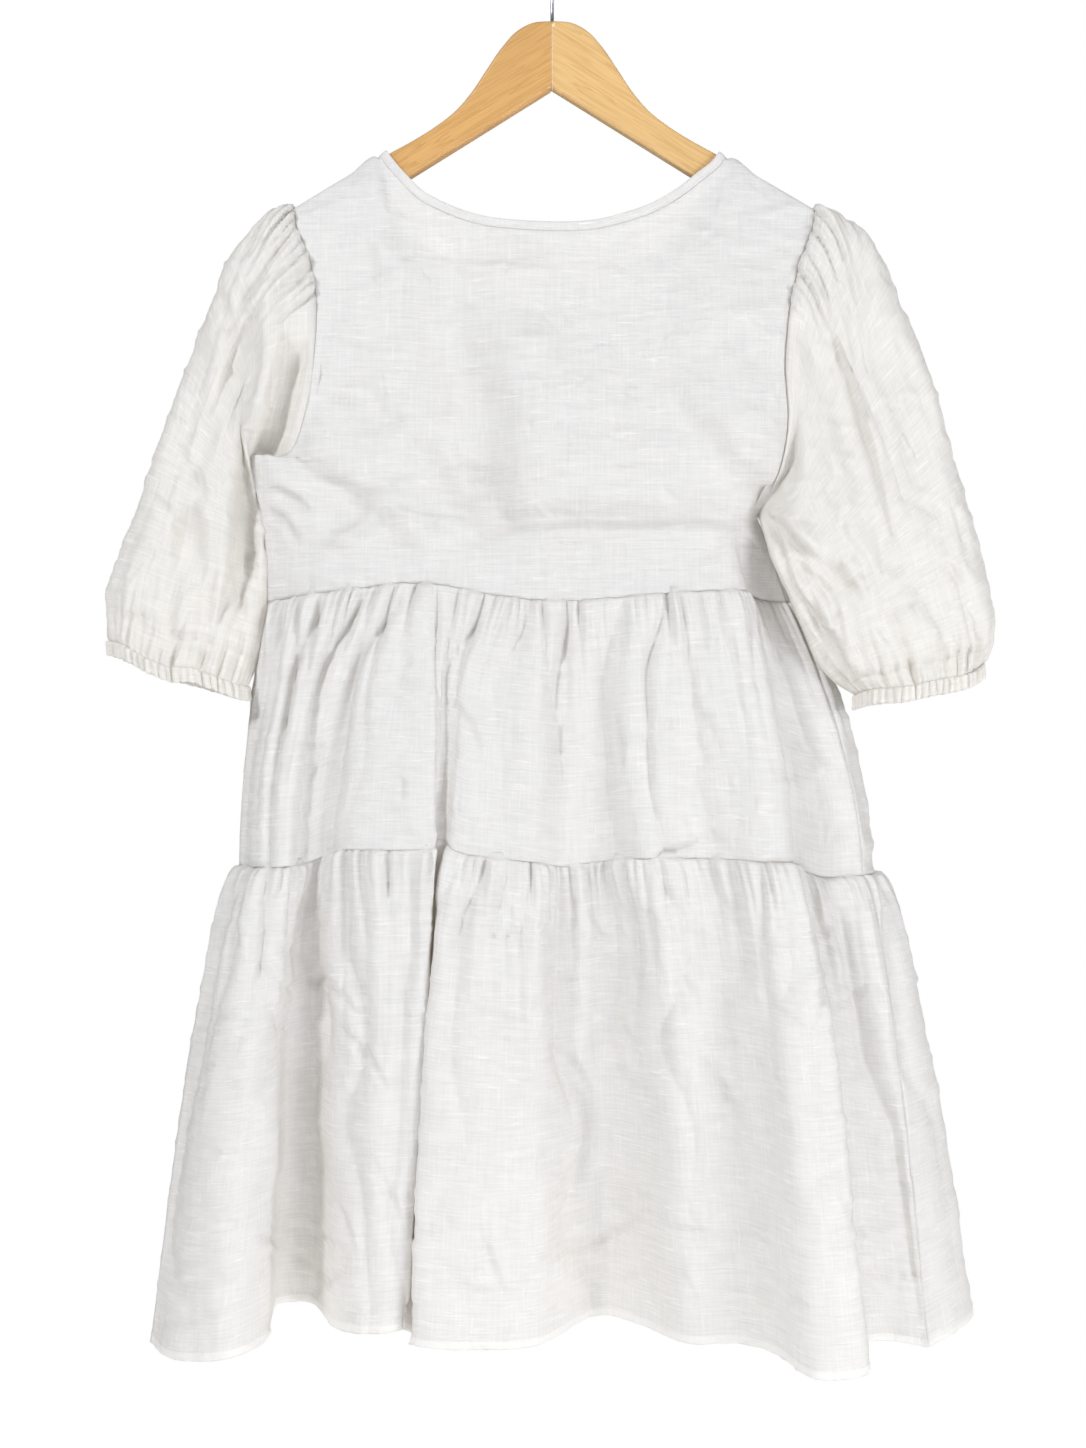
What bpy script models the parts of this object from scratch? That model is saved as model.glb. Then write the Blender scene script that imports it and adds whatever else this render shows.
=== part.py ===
"""A tiered smock dress with puff sleeves, hanging on a flat wooden hanger.

World metres, +Z up. The origin is the point under the hook's crook that a rail bears on. The side that the
photograph shows, the dress's back, faces -Y. Left and right are as seen from there.

Tables are in millimetres. Their across and drop columns are places as seen in the hanger's plane from EYE, drop
being measured down from the origin, and depth is how far behind the hanger's plane the place lies. seen() moves
a place along the line of sight to its depth, so that outlines keep the form that was measured.
"""

import math

import bpy
import numpy as np

MM = 0.001

# The vantage that the outline was measured from
EYE_ACROSS = -7.0
EYE_DROP = 595.0
EYE_DISTANCE = 1600.0

# Cloth
WALL = 1.3
SEAM_GAP = 0.35
SIDE_GAP = 0.4

# Hanger
ARM_THICK = 12.0
ARM_ROUND = 2.6
ARM_HEIGHT = 24.0
ARM_SLOPE = math.radians(31.5)
ARM_TIP_ACROSS = 186.0
WOOD_TOP_DROP = 62.0
MITRE_GAP = 0.3
WIRE_RADIUS = 1.4
CROOK_RADIUS = 18.0 + WIRE_RADIUS

# How the cloth lies over an arm, row by row: how far below its top line, and how far from the middle plane
OVER_ARM = ((0.0, 0.2), (1.4, 6.6), (6.0, 8.8))

# The folds of the skirt, from the left side seam round the near side, then back along the far side. Each row is
# one crest, valley or seam, given at the underarm, the yoke seam, the tier seam and the hem.
FOLD_COLUMNS = (
    "name",
    "arm_across", "arm_drop", "arm_depth",
    "yoke_across", "yoke_drop", "yoke_depth",
    "tier_across", "tier_drop", "tier_depth",
    "hem_across", "hem_drop", "hem_depth",
)
BACK_FOLDS = (
    ("left side seam", -232, 393, 2, -216, 503, 0, -238, 702, 0, -305, 1065, 18),
    ("left lobe", -216, 396, -10, -199, 499, -12, -226, 704, -18, -283, 1079, -26),
    ("left lobe crest", -199, 399, -17, -182, 496, -20, -214, 704, -26, -245, 1077, -40),
    ("left lobe turn", -182, 402, -21, -166, 494, -25, -201, 703, -26, -217, 1064, -20),
    ("left trough", -166, 406, -24, -149, 492, -28, -187, 701, -14, -207, 1035, 28),
    ("left trough floor", -149, 409, -25, -132, 490, -30, -175, 696, -14, -188, 1034, 34),
    ("second lobe start", -132, 410, -26, -116, 488, -31, -161, 691, -28, -163, 1055, 0),
    ("second lobe", -116, 412, -27, -100, 488, -32, -131, 691, -38, -134, 1059, -18),
    ("flap edge", -100, 413, -28, -87, 489, -33, -90, 688, -40, -112, 1055, -14),
    ("flap return", -85, 414, -28, -73, 491, -33, -97, 686, -22, -122, 1053, 6),
    ("under the flap", -70, 415, -28, -58, 494, -34, -84, 683, -12, -106, 1058, 12),
    ("after the flap", -55, 415, -28, -43, 497, -34, -69, 690, -30, -88, 1068, -12),
    ("third lobe", -38, 416, -29, -27, 499, -35, -43, 697, -38, -55, 1071, -26),
    ("third lobe turn", -20, 416, -29, -9, 501, -35, -15, 700, -36, -13, 1068, -16),
    ("middle trough", -2, 416, -29, 9, 501, -35, 8, 703, -22, 20, 1050, 20),
    ("middle trough floor", 17, 416, -29, 29, 501, -35, 30, 700, -18, 39, 1044, 32),
    ("fourth lobe start", 36, 416, -29, 47, 499, -36, 52, 698, -30, 67, 1052, 14),
    ("fourth lobe", 56, 417, -28, 68, 497, -37, 78, 697, -40, 105, 1066, -20),
    ("shallow valley", 76, 418, -28, 91, 495, -37, 109, 697, -32, 144, 1066, -26),
    ("near lobe start", 94, 420, -27, 114, 494, -36, 135, 698, -38, 169, 1074, -48),
    ("near lobe", 112, 423, -26, 134, 493, -32, 164, 700, -46, 200, 1093, -76),
    ("near fold edge", 128, 427, -24, 147, 493, -20, 184, 700, -34, 241, 1089, -72),
    ("fold return", 141, 430, -18, 146, 495, -4, 180, 702, -12, 235, 1067, -32),
    ("gore", 150, 433, -9, 161, 501, 8, 205, 711, -4, 259, 1064, -12),
    ("right side seam", 156, 437, 2, 179, 503, 14, 236, 710, 6, 285, 1069, -8),
)
FRONT_FOLDS = (
    ("right side", 154, 436, 9, 188, 503, 24, 245, 707, 26, 318, 1048, 26),
    ("right far corner", 146, 434, 18, 185, 503, 38, 239, 705, 52, 312, 1030, 70),
    ("far lobe 1", 117, 429, 30, 166, 504, 48, 211, 699, 74, 276, 1020, 122),
    ("far trough 1", 90, 425, 35, 139, 505, 52, 181, 696, 64, 234, 1030, 88),
    ("far lobe 2", 62, 422, 38, 105, 506, 56, 139, 691, 80, 181, 1020, 128),
    ("far trough 2", 35, 421, 40, 71, 506, 56, 101, 693, 66, 124, 1031, 84),
    ("far lobe 3", 6, 419, 41, 33, 506, 58, 63, 691, 84, 67, 1021, 124),
    ("far trough 3", -24, 418, 41, -5, 506, 58, 17, 692, 70, 6, 1031, 86),
    ("far lobe 4", -55, 418, 40, -43, 506, 57, -32, 691, 84, -55, 1021, 128),
    ("far trough 4", -85, 416, 38, -81, 506, 54, -78, 694, 66, -116, 1033, 80),
    ("far lobe 5", -116, 414, 36, -119, 505, 50, -127, 693, 76, -180, 1022, 120),
    ("left far corner", -157, 409, 30, -169, 504, 38, -192, 699, 56, -256, 1031, 90),
    ("left side", -207, 399, 16, -203, 503, 18, -228, 703, 30, -298, 1052, 56),
)
PANEL_COLUMNS = 24

# Rows down each panel, as shares of its height, close together where the gathers are sharpest
TIER1_ROWS = (0.0, 0.05, 0.14, 0.3, 0.5, 0.74, 1.0)
TIER2_ROWS = (0.0, 0.03, 0.08, 0.17, 0.3, 0.46, 0.64, 0.82, 1.0)
SIDE_ROWS = (0.0, 0.25, 0.5, 0.75, 1.0)
SIDE_FADE = 3
SIDE_SEAM_CURVE = 2.2

# Gathers: the wave stands this far either side of the cloth just under the seam, and fades downwards
GATHER_COLUMNS = ("name", "at_seam", "under_seam", "fades_over")
GATHERS = {
    "tier1": dict(zip(GATHER_COLUMNS[1:], (0.5, 2.6, 0.75))),
    "tier2": dict(zip(GATHER_COLUMNS[1:], (0.5, 3.0, 0.6))),
}

# The armhole of each panel, from the shoulder point to the underarm
ARMHOLE_COLUMNS = ("across", "drop", "depth")
ARMHOLES = {
    ("back", "left"): (
        (-190, 211, -8.6), (-183, 247, -14), (-179, 290, -20), (-183, 330, -22), (-189, 364, -20),
        (-197, 387, -15), (-214, 393, -9), (-232, 393, 2),
    ),
    ("front", "left"): (
        (-190, 211, 8.6), (-181, 250, 16), (-174, 294, 22), (-176, 330, 25), (-184, 362, 24),
        (-196, 386, 20), (-214, 393, 13), (-232, 393, 2),
    ),
    ("back", "right"): (
        (195, 212, -8.6), (187, 246, -14), (179, 290, -20), (177, 329, -23), (179, 366, -22),
        (175, 394, -20), (167, 415, -13), (156, 437, 2),
    ),
    ("front", "right"): (
        (195, 212, 8.6), (185, 248, 16), (174, 294, 22), (170, 332, 26), (172, 368, 27),
        (170, 396, 24), (166, 416, 16), (156, 437, 2),
    ),
}
SHOULDER_POINTS = {"left": (-195, 203), "right": (198, 204)}
NECK_POINTS = {"left": (-132, 165), "right": (133, 166)}

# The neckline where the binding is sewn on, between the two neck points, for each panel
NECK_COLUMNS = ("across", "drop", "depth")
NECKLINES = {
    "back": (
        (-130.9, 164.3, -7.2), (-126.2, 170.5, -9.3), (-116, 182, -9.4), (-103, 195, -10), (-87, 204, -11),
        (-67, 212, -13), (-46, 217, -14), (-25, 219, -15), (-4, 220, -15), (17, 220, -15), (37, 218, -15),
        (57, 213, -14), (77, 206, -12), (97, 195, -10), (115, 181, -9.4), (127.3, 171, -9.3), (131.9, 165.1, -7.2),
    ),
    "front": (
        (-130, 168.1, 7.2), (-127.3, 176.4, 9.3), (-123, 189, 9.6), (-117, 206, 12), (-105, 225, 15),
        (-86, 243, 19), (-65, 255, 22), (-40, 262, 24), (-14, 266, 25), (14, 266, 25), (40, 262, 24),
        (66, 255, 22), (94, 238, 18), (112, 217, 13), (123, 191, 9.6), (128, 177, 9.3), (130.8, 169, 7.2),
    ),
}
BINDING_WIDTH = 6.8
BINDING_WALL = 1.4

# Sleeve outlines: the outer edge, the inner edge and the seam to the cuff, which has a near and a far side
OUTLINE_COLUMNS = ("across", "drop", "depth")
SLEEVE_OUTER = {
    "left": (
        (-195, 203, 0), (-206, 203, 0), (-222, 215, 2), (-240, 233, 4), (-252, 256, 5), (-264, 288, 6),
        (-286, 341, 6), (-305, 396, 6), (-318, 435, 6), (-332, 470, 5), (-339, 499, 5), (-337, 531, 4),
    ),
    "right": (
        (198, 204, 0), (208, 203, 0), (222, 210, 2), (240, 226, 4), (254, 246, 5), (267, 281, 6),
        (290, 341, 6), (306, 392, 6), (320, 440, 6), (333, 488, 5), (337, 518, 5), (328, 548, 4),
    ),
}
SLEEVE_INNER = {
    "left": (
        (-232, 393, 2), (-235, 402, 3), (-233, 420, 4), (-228, 442, 5), (-225, 470, 5), (-225, 500, 5),
        (-228, 535, 1), (-231, 566, -4),
    ),
    "right": (
        (156, 437, 2), (161, 452, -10), (167, 472, -17), (178, 495, -18), (190, 523, -13), (201, 548, -5),
        (214, 563, 0),
        (230, 573, 3),
    ),
}
CUFF_SEAM = {
    ("near", "left"): (
        (-337, 531, 4), (-326, 534, -14), (-309, 544, -24), (-291, 551, -28), (-273, 552, -29),
        (-257, 558, -27), (-241, 564, -20), (-231, 566, -4),
    ),
    ("far", "left"): (
        (-337, 531, 4), (-324, 536, 20), (-306, 545, 29), (-284, 552, 33), (-262, 558, 31),
        (-243, 564, 17), (-231, 566, -4),
    ),
    ("near", "right"): (
        (328, 548, 4), (316, 556, -16), (291, 561, -27), (268, 566, -29), (245, 568, -20), (230, 573, 3),
    ),
    ("far", "right"): (
        (328, 548, 4), (316, 556, 20), (291, 562, 31), (266, 567, 32), (244, 569, 22), (230, 573, 3),
    ),
}
SLEEVE_ROWS = (0.0, 0.03, 0.07, 0.12, 0.2, 0.31, 0.44, 0.58, 0.72, 0.85, 0.94, 1.0)
SLEEVE_HALF_COLUMNS = 16
PUFF_DEPTH = {"near": 24.0, "far": 22.0}
CAP_GATHER = 2.6
CUFF_GATHER = 2.2
CUFF_HEIGHT = 9.5
CUFF_WALL = 1.6
CUFF_LEAN = {"left": 0.10, "right": -0.02}
INNER_SLOWNESS = {"left": 2.4, "right": 1.5}
ARM_LEAVE = 6.0
UNDERARM_ROWS = 4
PUFF_RISE = 0.45
PUFF_ROUND = 0.45
ARMHOLE_ROWS = 9
CUFF_PLEAT = 1.7

# Sleeve folds: a line between two places on one side of the sleeve. Along is the share of the way from the
# armhole to the cuff, round the share from the outer edge to the inner edge. Push is towards the far side.
SLEEVE_FOLD_COLUMNS = ("side", "face", "along_0", "round_0", "along_1", "round_1", "width", "push")
SLEEVE_FOLDS = (
    ("left", "near", 0.03, 0.35, 0.04, 0.80, 0.035, 16),
    ("left", "near", 0.09, 0.38, 0.11, 0.82, 0.050, -12),
    ("left", "near", 0.34, 0.82, 0.74, 0.80, 0.075, 15),
    ("left", "far", 0.22, 0.84, 0.72, 0.80, 0.120, 10),
    ("left", "near", 0.30, 0.45, 0.85, 0.40, 0.090, 7),
    ("left", "far", 0.20, 0.55, 0.85, 0.50, 0.120, -12),
    ("left", "far", 0.15, 0.25, 0.60, 0.25, 0.100, -7),
    ("right", "near", 0.10, 0.30, 0.62, 0.50, 0.080, 13),
    ("right", "near", 0.14, 0.62, 0.66, 0.78, 0.080, 8),
    ("right", "near", 0.34, 0.20, 0.88, 0.30, 0.090, 6),
    ("right", "far", 0.20, 0.50, 0.85, 0.55, 0.120, -12),
    ("right", "far", 0.15, 0.78, 0.60, 0.72, 0.100, -7),
)

COLOURS = {"cloth": (0.86, 0.85, 0.82), "wood": (0.70, 0.42, 0.17), "wire": (0.55, 0.55, 0.56)}


def seen(across, drop, depth):
    """The point at this depth that is seen at this place in the hanger's plane."""
    scale = 1 + depth / EYE_DISTANCE
    x = EYE_ACROSS + (across - EYE_ACROSS) * scale
    z = -(EYE_DROP + (drop - EYE_DROP) * scale)
    return np.array((x, depth, z))


def spline(points):
    """A smooth curve through the points, as a function of the share of its length."""
    points = np.asarray(points, float)
    steps = np.linalg.norm(np.diff(points, axis=0), axis=1)
    knots = np.concatenate(([0.0], np.cumsum(steps)))
    slopes = np.gradient(points, knots, axis=0)

    def at(share):
        place = min(max(share, 0.0), 1.0) * knots[-1]
        i = int(min(max(np.searchsorted(knots, place) - 1, 0), len(steps) - 1))
        span = steps[i]
        t = (place - knots[i]) / span
        near = (2 * t**3 - 3 * t**2 + 1) * points[i] + (t**3 - 2 * t**2 + t) * span * slopes[i]
        far = (3 * t**2 - 2 * t**3) * points[i + 1] + (t**3 - t**2) * span * slopes[i + 1]
        return near + far

    return at


def polyline(points):
    """The same, with straight stretches between the points, as a function of the number of the point."""
    points = np.asarray(points, float)

    def at(number):
        i = min(int(number), len(points) - 2)
        return points[i] + (points[i + 1] - points[i]) * (number - i)

    return at


def normals_of(grid, ring=False):
    """Unit normals of a grid of points, towards the outside: rows run down, columns run right on the near side."""
    if ring:
        around = np.roll(grid, -1, axis=1) - np.roll(grid, 1, axis=1)
    else:
        around = np.gradient(grid, axis=1)
    down = np.gradient(grid, axis=0)
    normals = np.cross(down, around)
    return normals / np.maximum(np.linalg.norm(normals, axis=2, keepdims=True), 1e-9)


def material(name):
    made = bpy.data.materials.get(name) or bpy.data.materials.new(name)
    made.use_nodes = True
    shader = made.node_tree.nodes["Principled BSDF"]
    shader.inputs["Base Color"].default_value = (*COLOURS[name.split(".")[0]], 1)
    shader.inputs["Roughness"].default_value = 0.8
    return made


def add_object(name, points, faces, stuff):
    mesh = bpy.data.meshes.new(name)
    mesh.from_pydata([tuple(point * MM) for point in points], [], faces)
    mesh.validate()
    mesh.materials.append(material(f"{stuff}.{name}"))
    made = bpy.data.objects.new(name, mesh)
    bpy.context.scene.collection.objects.link(made)
    return made


def wall(name, outer, inner, ring=False, stuff="cloth"):
    """A closed wall between two grids of points. A ring joins its last column to its first."""
    rows, columns = outer.shape[:2]
    points = np.concatenate((outer.reshape(-1, 3), inner.reshape(-1, 3)))
    back = rows * columns
    faces = []
    spans = columns if ring else columns - 1
    for j in range(rows - 1):
        for i in range(spans):
            a, b = j * columns + i, j * columns + (i + 1) % columns
            faces.append((a, a + columns, b + columns, b))
            faces.append((back + a, back + b, back + b + columns, back + a + columns))
    last = (rows - 1) * columns
    for i in range(spans):
        n = (i + 1) % columns
        faces.append((i, n, back + n, back + i))
        faces.append((last + n, last + i, back + last + i, back + last + n))
    if not ring:
        for j in range(rows - 1):
            a, b = j * columns, (j + 1) * columns
            faces.append((b, a, back + a, back + b))
            a, b = a + columns - 1, b + columns - 1
            faces.append((a, b, back + b, back + a))
    return add_object(name, points, faces, stuff)


def shoulder_line(across):
    """The drop of the cloth on top of an arm at this place across."""
    side = "left" if across < 0 else "right"
    (x0, z0), (x1, z1) = NECK_POINTS[side], SHOULDER_POINTS[side]
    return z0 + (z1 - z0) * (across - x0) / (x1 - x0)


def patch_between(top, bottom, left, right, down):
    """A smooth patch between four edges of points. Down holds each row's share of the height. The forms of the
    left and right edges fade towards the middle."""
    u = np.linspace(0, 1, len(top))[None, :, None]
    v = np.asarray(down, float)[:, None, None]
    top, bottom = np.asarray(top)[None], np.asarray(bottom)[None]
    plain = (1 - v) * top + v * bottom
    left = np.asarray(left)[:, None] - plain[:, :1]
    right = np.asarray(right)[:, None] - plain[:, -1:]
    return plain + (1 - u) ** SIDE_FADE * left + u**SIDE_FADE * right


def fold_rows(which, level):
    """The points of one level of the folds, from left to right, for the back or the front."""
    first = FOLD_COLUMNS.index(level + "_across")
    back = [seen(*row[first : first + 3]) for row in BACK_FOLDS]
    if which == "back":
        return back
    front = [seen(*row[first : first + 3]) for row in FRONT_FOLDS]
    return [back[0], *front[::-1], back[-1]]


def level_points(which, level):
    """PANEL_COLUMNS + 1 points along one level, from left to right."""
    rows = fold_rows(which, level)
    if which == "back":
        return np.array(rows)
    curve = spline(rows)
    knots = np.linspace(0, len(rows) - 1, PANEL_COLUMNS + 1)
    lengths = np.concatenate(([0.0], np.cumsum(np.linalg.norm(np.diff(rows, axis=0), axis=1))))
    shares = np.interp(knots, range(len(rows)), lengths / lengths[-1])
    return np.array([curve(share) for share in shares])


def yoke(which):
    """The grid of a bodice panel's outer face, from left to right."""
    sign = -1 if which == "back" else 1
    over = [(drop, sign * depth) for drop, depth in OVER_ARM[:3]]
    top = []
    for side in ("left", "neck", "right"):
        if side == "neck":
            line = [(x, drop, depth) for x, drop, depth in NECKLINES[which]]
            keep = line[:3] + line[3:-3] + line[-3:]
            top.extend((x, drop, depth, True) for x, drop, depth in keep)
            continue
        (x0, z0), (x1, z1) = NECK_POINTS[side], SHOULDER_POINTS[side]
        shares = (1, 0.7, 0.35, 0) if side == "left" else (0, 0.35, 0.7, 1)
        top.extend((x0 + (x1 - x0) * t, z0 + (z1 - z0) * t, sign * 0.2, False) for t in shares)
    rows = []
    for number, (extra, width) in enumerate(over):
        row = []
        for x, drop, depth, on_neck in top:
            if on_neck:
                reach = max(abs(depth), abs(width) if number else 0)
                row.append(seen(x, drop + (0, 2.2, 6.5)[number], sign * (reach + 0.1 * number)))
            else:
                row.append(seen(x, drop, 0) + np.array((0, width, -extra)))
        rows.append(np.array(row))
    left = [seen(*place) for place in ARMHOLES[which, "left"]]
    right = [seen(*place) for place in ARMHOLES[which, "right"]]
    bottom = level_points(which, "arm")
    upper_left, upper_right = spline(left), spline(right)
    count = 6
    left = [rows[2][0]] + [upper_left(k / count) for k in range(1, count)] + [bottom[0]]
    right = [rows[2][-1]] + [upper_right(k / count) for k in range(1, count)] + [bottom[-1]]
    fall = [np.linalg.norm(np.subtract(left[k], left[0])) for k in range(count + 1)]
    down = np.array(fall) / fall[-1]
    down = 0.5 * down + 0.5 * np.linspace(0, 1, count + 1)
    patch = patch_between(rows[2], bottom, left, right, down)
    below = level_points(which, "yoke")
    sides = []
    for share in SIDE_ROWS[1:]:
        drawn_in = 1 - (1 - share) ** np.linspace(SIDE_SEAM_CURVE, 1, len(bottom))
        part_way = np.full_like(bottom, share)
        part_way[:, 0] = drawn_in
        sides.append(bottom + (below - bottom) * part_way)
    return np.concatenate((np.array(rows[:2]), patch, np.array(sides)))


def double(points, count=2):
    """The same polyline with count stretches for each one."""
    at = polyline(points)
    return np.array([at(k / count) for k in range((len(points) - 1) * count + 1)])


def flare(tier, share):
    """How far a tier has opened at this share of its height."""
    if tier == "tier1":
        return 1 - (1 - share) ** 1.75
    return share**0.62


def unevenness(number, seed):
    """A steady pseudo-random value from -1 to 1 for each gather."""
    return math.sin(number * 12.9898 + seed * 78.233) * math.cos(number * 4.1414 + seed)


def tier(which, name, top, out, bottom_level, rows, seed):
    """The grid of a tier panel's outer face, from left to right, hanging from the polyline top. Out is the way
    out of the cloth along it."""
    bottom = level_points(which, bottom_level)
    curve = spline(bottom)
    steps = np.linalg.norm(np.diff(bottom, axis=0), axis=1)
    shares = np.concatenate(([0.0], np.cumsum(steps))) / steps.sum()
    halves = np.interp(np.arange(0, PANEL_COLUMNS + 0.5, 0.5), range(PANEL_COLUMNS + 1), shares)
    low = np.array([curve(share) for share in halves])
    gather = GATHERS[name]
    grid = np.array([top + (low - top) * np.array((flare(name, v), flare(name, v), v)) for v in rows])
    smooth = normals_of(grid) * (1 if which == "back" else -1)
    smooth[0] = out
    smooth[..., 2] = 0
    for j, v in enumerate(rows):
        fade = max(0.0, 1 - v / gather["fades_over"]) ** 1.3
        height = gather["at_seam"] if j == 0 else gather["under_seam"] * fade
        for i in range(1, grid.shape[1] - 1):
            push = height * (1 + 0.35 * unevenness(i, seed)) * (1 if i % 2 else -1)
            grid[j, i] += push * unit(smooth[j, i])
    return grid


def shoulder_normals(grid, which):
    """The normals of a bodice panel's first row: upright from the arms along the shoulders."""
    made = normals_of(grid)[0] * (1 if which == "back" else -1)
    away = np.array((0, -1 if which == "back" else 1, 0))
    for number in range(6):
        up = np.array((-math.sin(ARM_SLOPE), 0, math.cos(ARM_SLOPE)))
        share = (0, 0, 0, 0, 0.65, 0.95)[number]
        made[number] = unit(up * (1 - share) + away * share)
        made[-1 - number] = made[number] * np.array((-1, 1, 1))
    return made


def unit(vectors):
    return vectors / np.maximum(np.linalg.norm(vectors, axis=-1, keepdims=True), 1e-9)


def panel_normals(pair, first_seam_row, top=None):
    """The outward normals of a back and a front grid, the same for both along their side seams and level at
    the lowest row. Top gives those of the first row."""
    normals = {"back": normals_of(pair["back"]), "front": -normals_of(pair["front"])}
    for which in normals:
        if top:
            normals[which][0] = top[which]
        normals[which][-1, :, 2] = 0
        normals[which] = unit(normals[which])
    for column in (0, -1):
        shared = unit(normals["back"][first_seam_row:, column] + normals["front"][first_seam_row:, column])
        for which in normals:
            normals[which][first_seam_row:, column] = shared
    return normals


def make_panel(name, which, grid, normals):
    """A cloth panel from the grid of its outer face, given from left to right, clear of its side seams."""
    grid = grid.copy()
    for edge, beside in ((0, 1), (-1, -2)):
        grid[:, edge] += SIDE_GAP / 2 * unit(grid[:, beside] - grid[:, edge])
    if which == "front":
        grid, normals = grid[:, ::-1], normals[:, ::-1]
    return wall(name, grid, grid - WALL * normals)


def fold_push(side, face, along, around):
    """How far the folds push a place of a sleeve towards the far side."""
    total = 0.0
    for row in SLEEVE_FOLDS:
        fold = dict(zip(SLEEVE_FOLD_COLUMNS, row))
        if (fold["side"], fold["face"]) != (side, face):
            continue
        start = np.array((fold["along_0"], fold["round_0"]))
        step = np.array((fold["along_1"], fold["round_1"])) - start
        place = np.array((along, around)) - start
        share = float(np.dot(place, step) / np.dot(step, step))
        off = np.linalg.norm(place - step * min(max(share, 0.0), 1.0))
        total += fold["push"] * math.exp(-((off / fold["width"]) ** 2))
    return total


def sleeve_face(side, face, edge, out):
    """The grid of one side of a sleeve, from the outer edge to the inner edge. Edge is its armhole seam and out
    the way that the cloth leaves it."""
    steps = np.arange(SLEEVE_HALF_COLUMNS + 1) / SLEEVE_HALF_COLUMNS
    around = 0.5 * steps + 0.25 * (1 - np.cos(math.pi * steps))
    cuff = spline([seen(*place) for place in CUFF_SEAM[face, side]])
    outer = spline([seen(*place) for place in SLEEVE_OUTER[side]])
    inner = spline([seen(*place) for place in SLEEVE_INNER[side]])
    seam = np.array([cuff(t) for t in around])
    across = around[:, None]
    arm_bulge = edge - (edge[0] + (edge[-1] - edge[0]) * across)
    cuff_bulge = seam - (seam[0] + (seam[-1] - seam[0]) * across)
    sign = -1 if face == "near" else 1
    grid = []
    for v in SLEEVE_ROWS:
        high = edge[0] if v == 0 else outer(v)
        low = edge[-1] if v == 0 else inner(v ** INNER_SLOWNESS[side])
        row = high + (low - high) * across + (1 - v) ** (5 + 10 * across**4) * arm_bulge + v**4 * cuff_bulge
        leave = ARM_LEAVE * (v / 0.05) * math.exp(1 - v / 0.05) if v < 0.3 else 0
        rise = math.sin(math.pi * min(v * 1.06, 1.0)) ** PUFF_RISE if 0 < v < 1 else 0
        for i, t in enumerate(around):
            hold = min(1.0, 8 * t, 4 * (1 - t))
            row[i] += leave * min(1.0, 8 * t, 10 * (1 - t)) * out[i]
            row[i, 1] += sign * PUFF_DEPTH[face] * rise * math.sin(math.pi * t) ** PUFF_ROUND
            row[i, 1] += fold_push(side, face, v, t) * hold * min(1.0, 40 * v)
        grid.append(row)
    return np.array(grid)


def armhole_edge(side, which, yokes, normals):
    """The points of a panel's armhole, its normals there and the way out of the panel, twice as many as rows."""
    column, beside = (0, 1) if side == "left" else (-1, -2)
    grid = yokes[which][:ARMHOLE_ROWS]
    edge = grid[:, column]
    tangent = unit(np.gradient(edge, axis=0))
    out = edge - grid[:, beside]
    out = unit(out - tangent * np.sum(out * tangent, axis=1, keepdims=True))
    return double(edge), double(normals[which][:ARMHOLE_ROWS, column]), double(out)


def make_sleeve(side, yokes, normals):
    """The sleeve, and its lowest row with the normals there."""
    near = armhole_edge(side, "back", yokes, normals)
    far = armhole_edge(side, "front", yokes, normals)
    for a, b in zip(near, far):
        for end in (0, -1):
            a[end] = b[end] = (a[end] + b[end]) / 2
    rings = []
    for face, (edge, _, out) in (("near", near), ("far", far)):
        rings.append(sleeve_face(side, face, edge + SEAM_GAP * unit(out), unit(out)))
    top = near[1], far[1]

    def joined(a, b):
        if side == "left":
            return np.concatenate((a, b[..., -2:0:-1, :]), axis=-2)
        return np.concatenate((a[..., ::-1, :], b[..., 1:-1, :]), axis=-2)

    ring, first = joined(*rings), unit(joined(*top))
    smooth = normals_of(ring, ring=True)
    columns = ring.shape[1]
    for j, v in enumerate(SLEEVE_ROWS):
        cap = CAP_GATHER * max(0.0, 1 - v / 0.3) * min(1.0, v / 0.03)
        low = CUFF_GATHER * max(0.0, 1 - (1 - v) / 0.22) * (0.3 if v == 1 else 1)
        for i in range(columns):
            round_share = i / SLEEVE_HALF_COLUMNS if i <= SLEEVE_HALF_COLUMNS else 2 - i / SLEEVE_HALF_COLUMNS
            if side == "right":
                round_share = 1 - round_share
            high = cap * min(1.0, max(0.0, (0.8 - round_share) / 0.3))
            push = (high + low) * (1 + 0.3 * unevenness(i, 3.0)) * (1 if i % 2 else -1)
            ring[j, i] += push * smooth[j, i]
    walls = normals_of(ring, ring=True)
    steps = np.abs(np.arange(columns) - (SLEEVE_HALF_COLUMNS if side == "left" else 0))
    from_underarm = np.minimum(steps, columns - steps) / SLEEVE_HALF_COLUMNS
    beside = np.clip((0.14 - from_underarm) / 0.1, 0, 1)[:, None]
    middle = ring[UNDERARM_ROWS].mean(axis=0)
    walls[0] = first
    for j in range(UNDERARM_ROWS):
        share = beside * (1 - j / UNDERARM_ROWS)
        walls[j] = walls[j] * (1 - share) + unit(ring[j] - middle) * share
    walls[-1, :, 2] = 0
    walls = unit(walls)
    wall(f"sleeve_{side}", ring, ring - WALL * walls, ring=True)
    return ring[-1], walls[-1]


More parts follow.
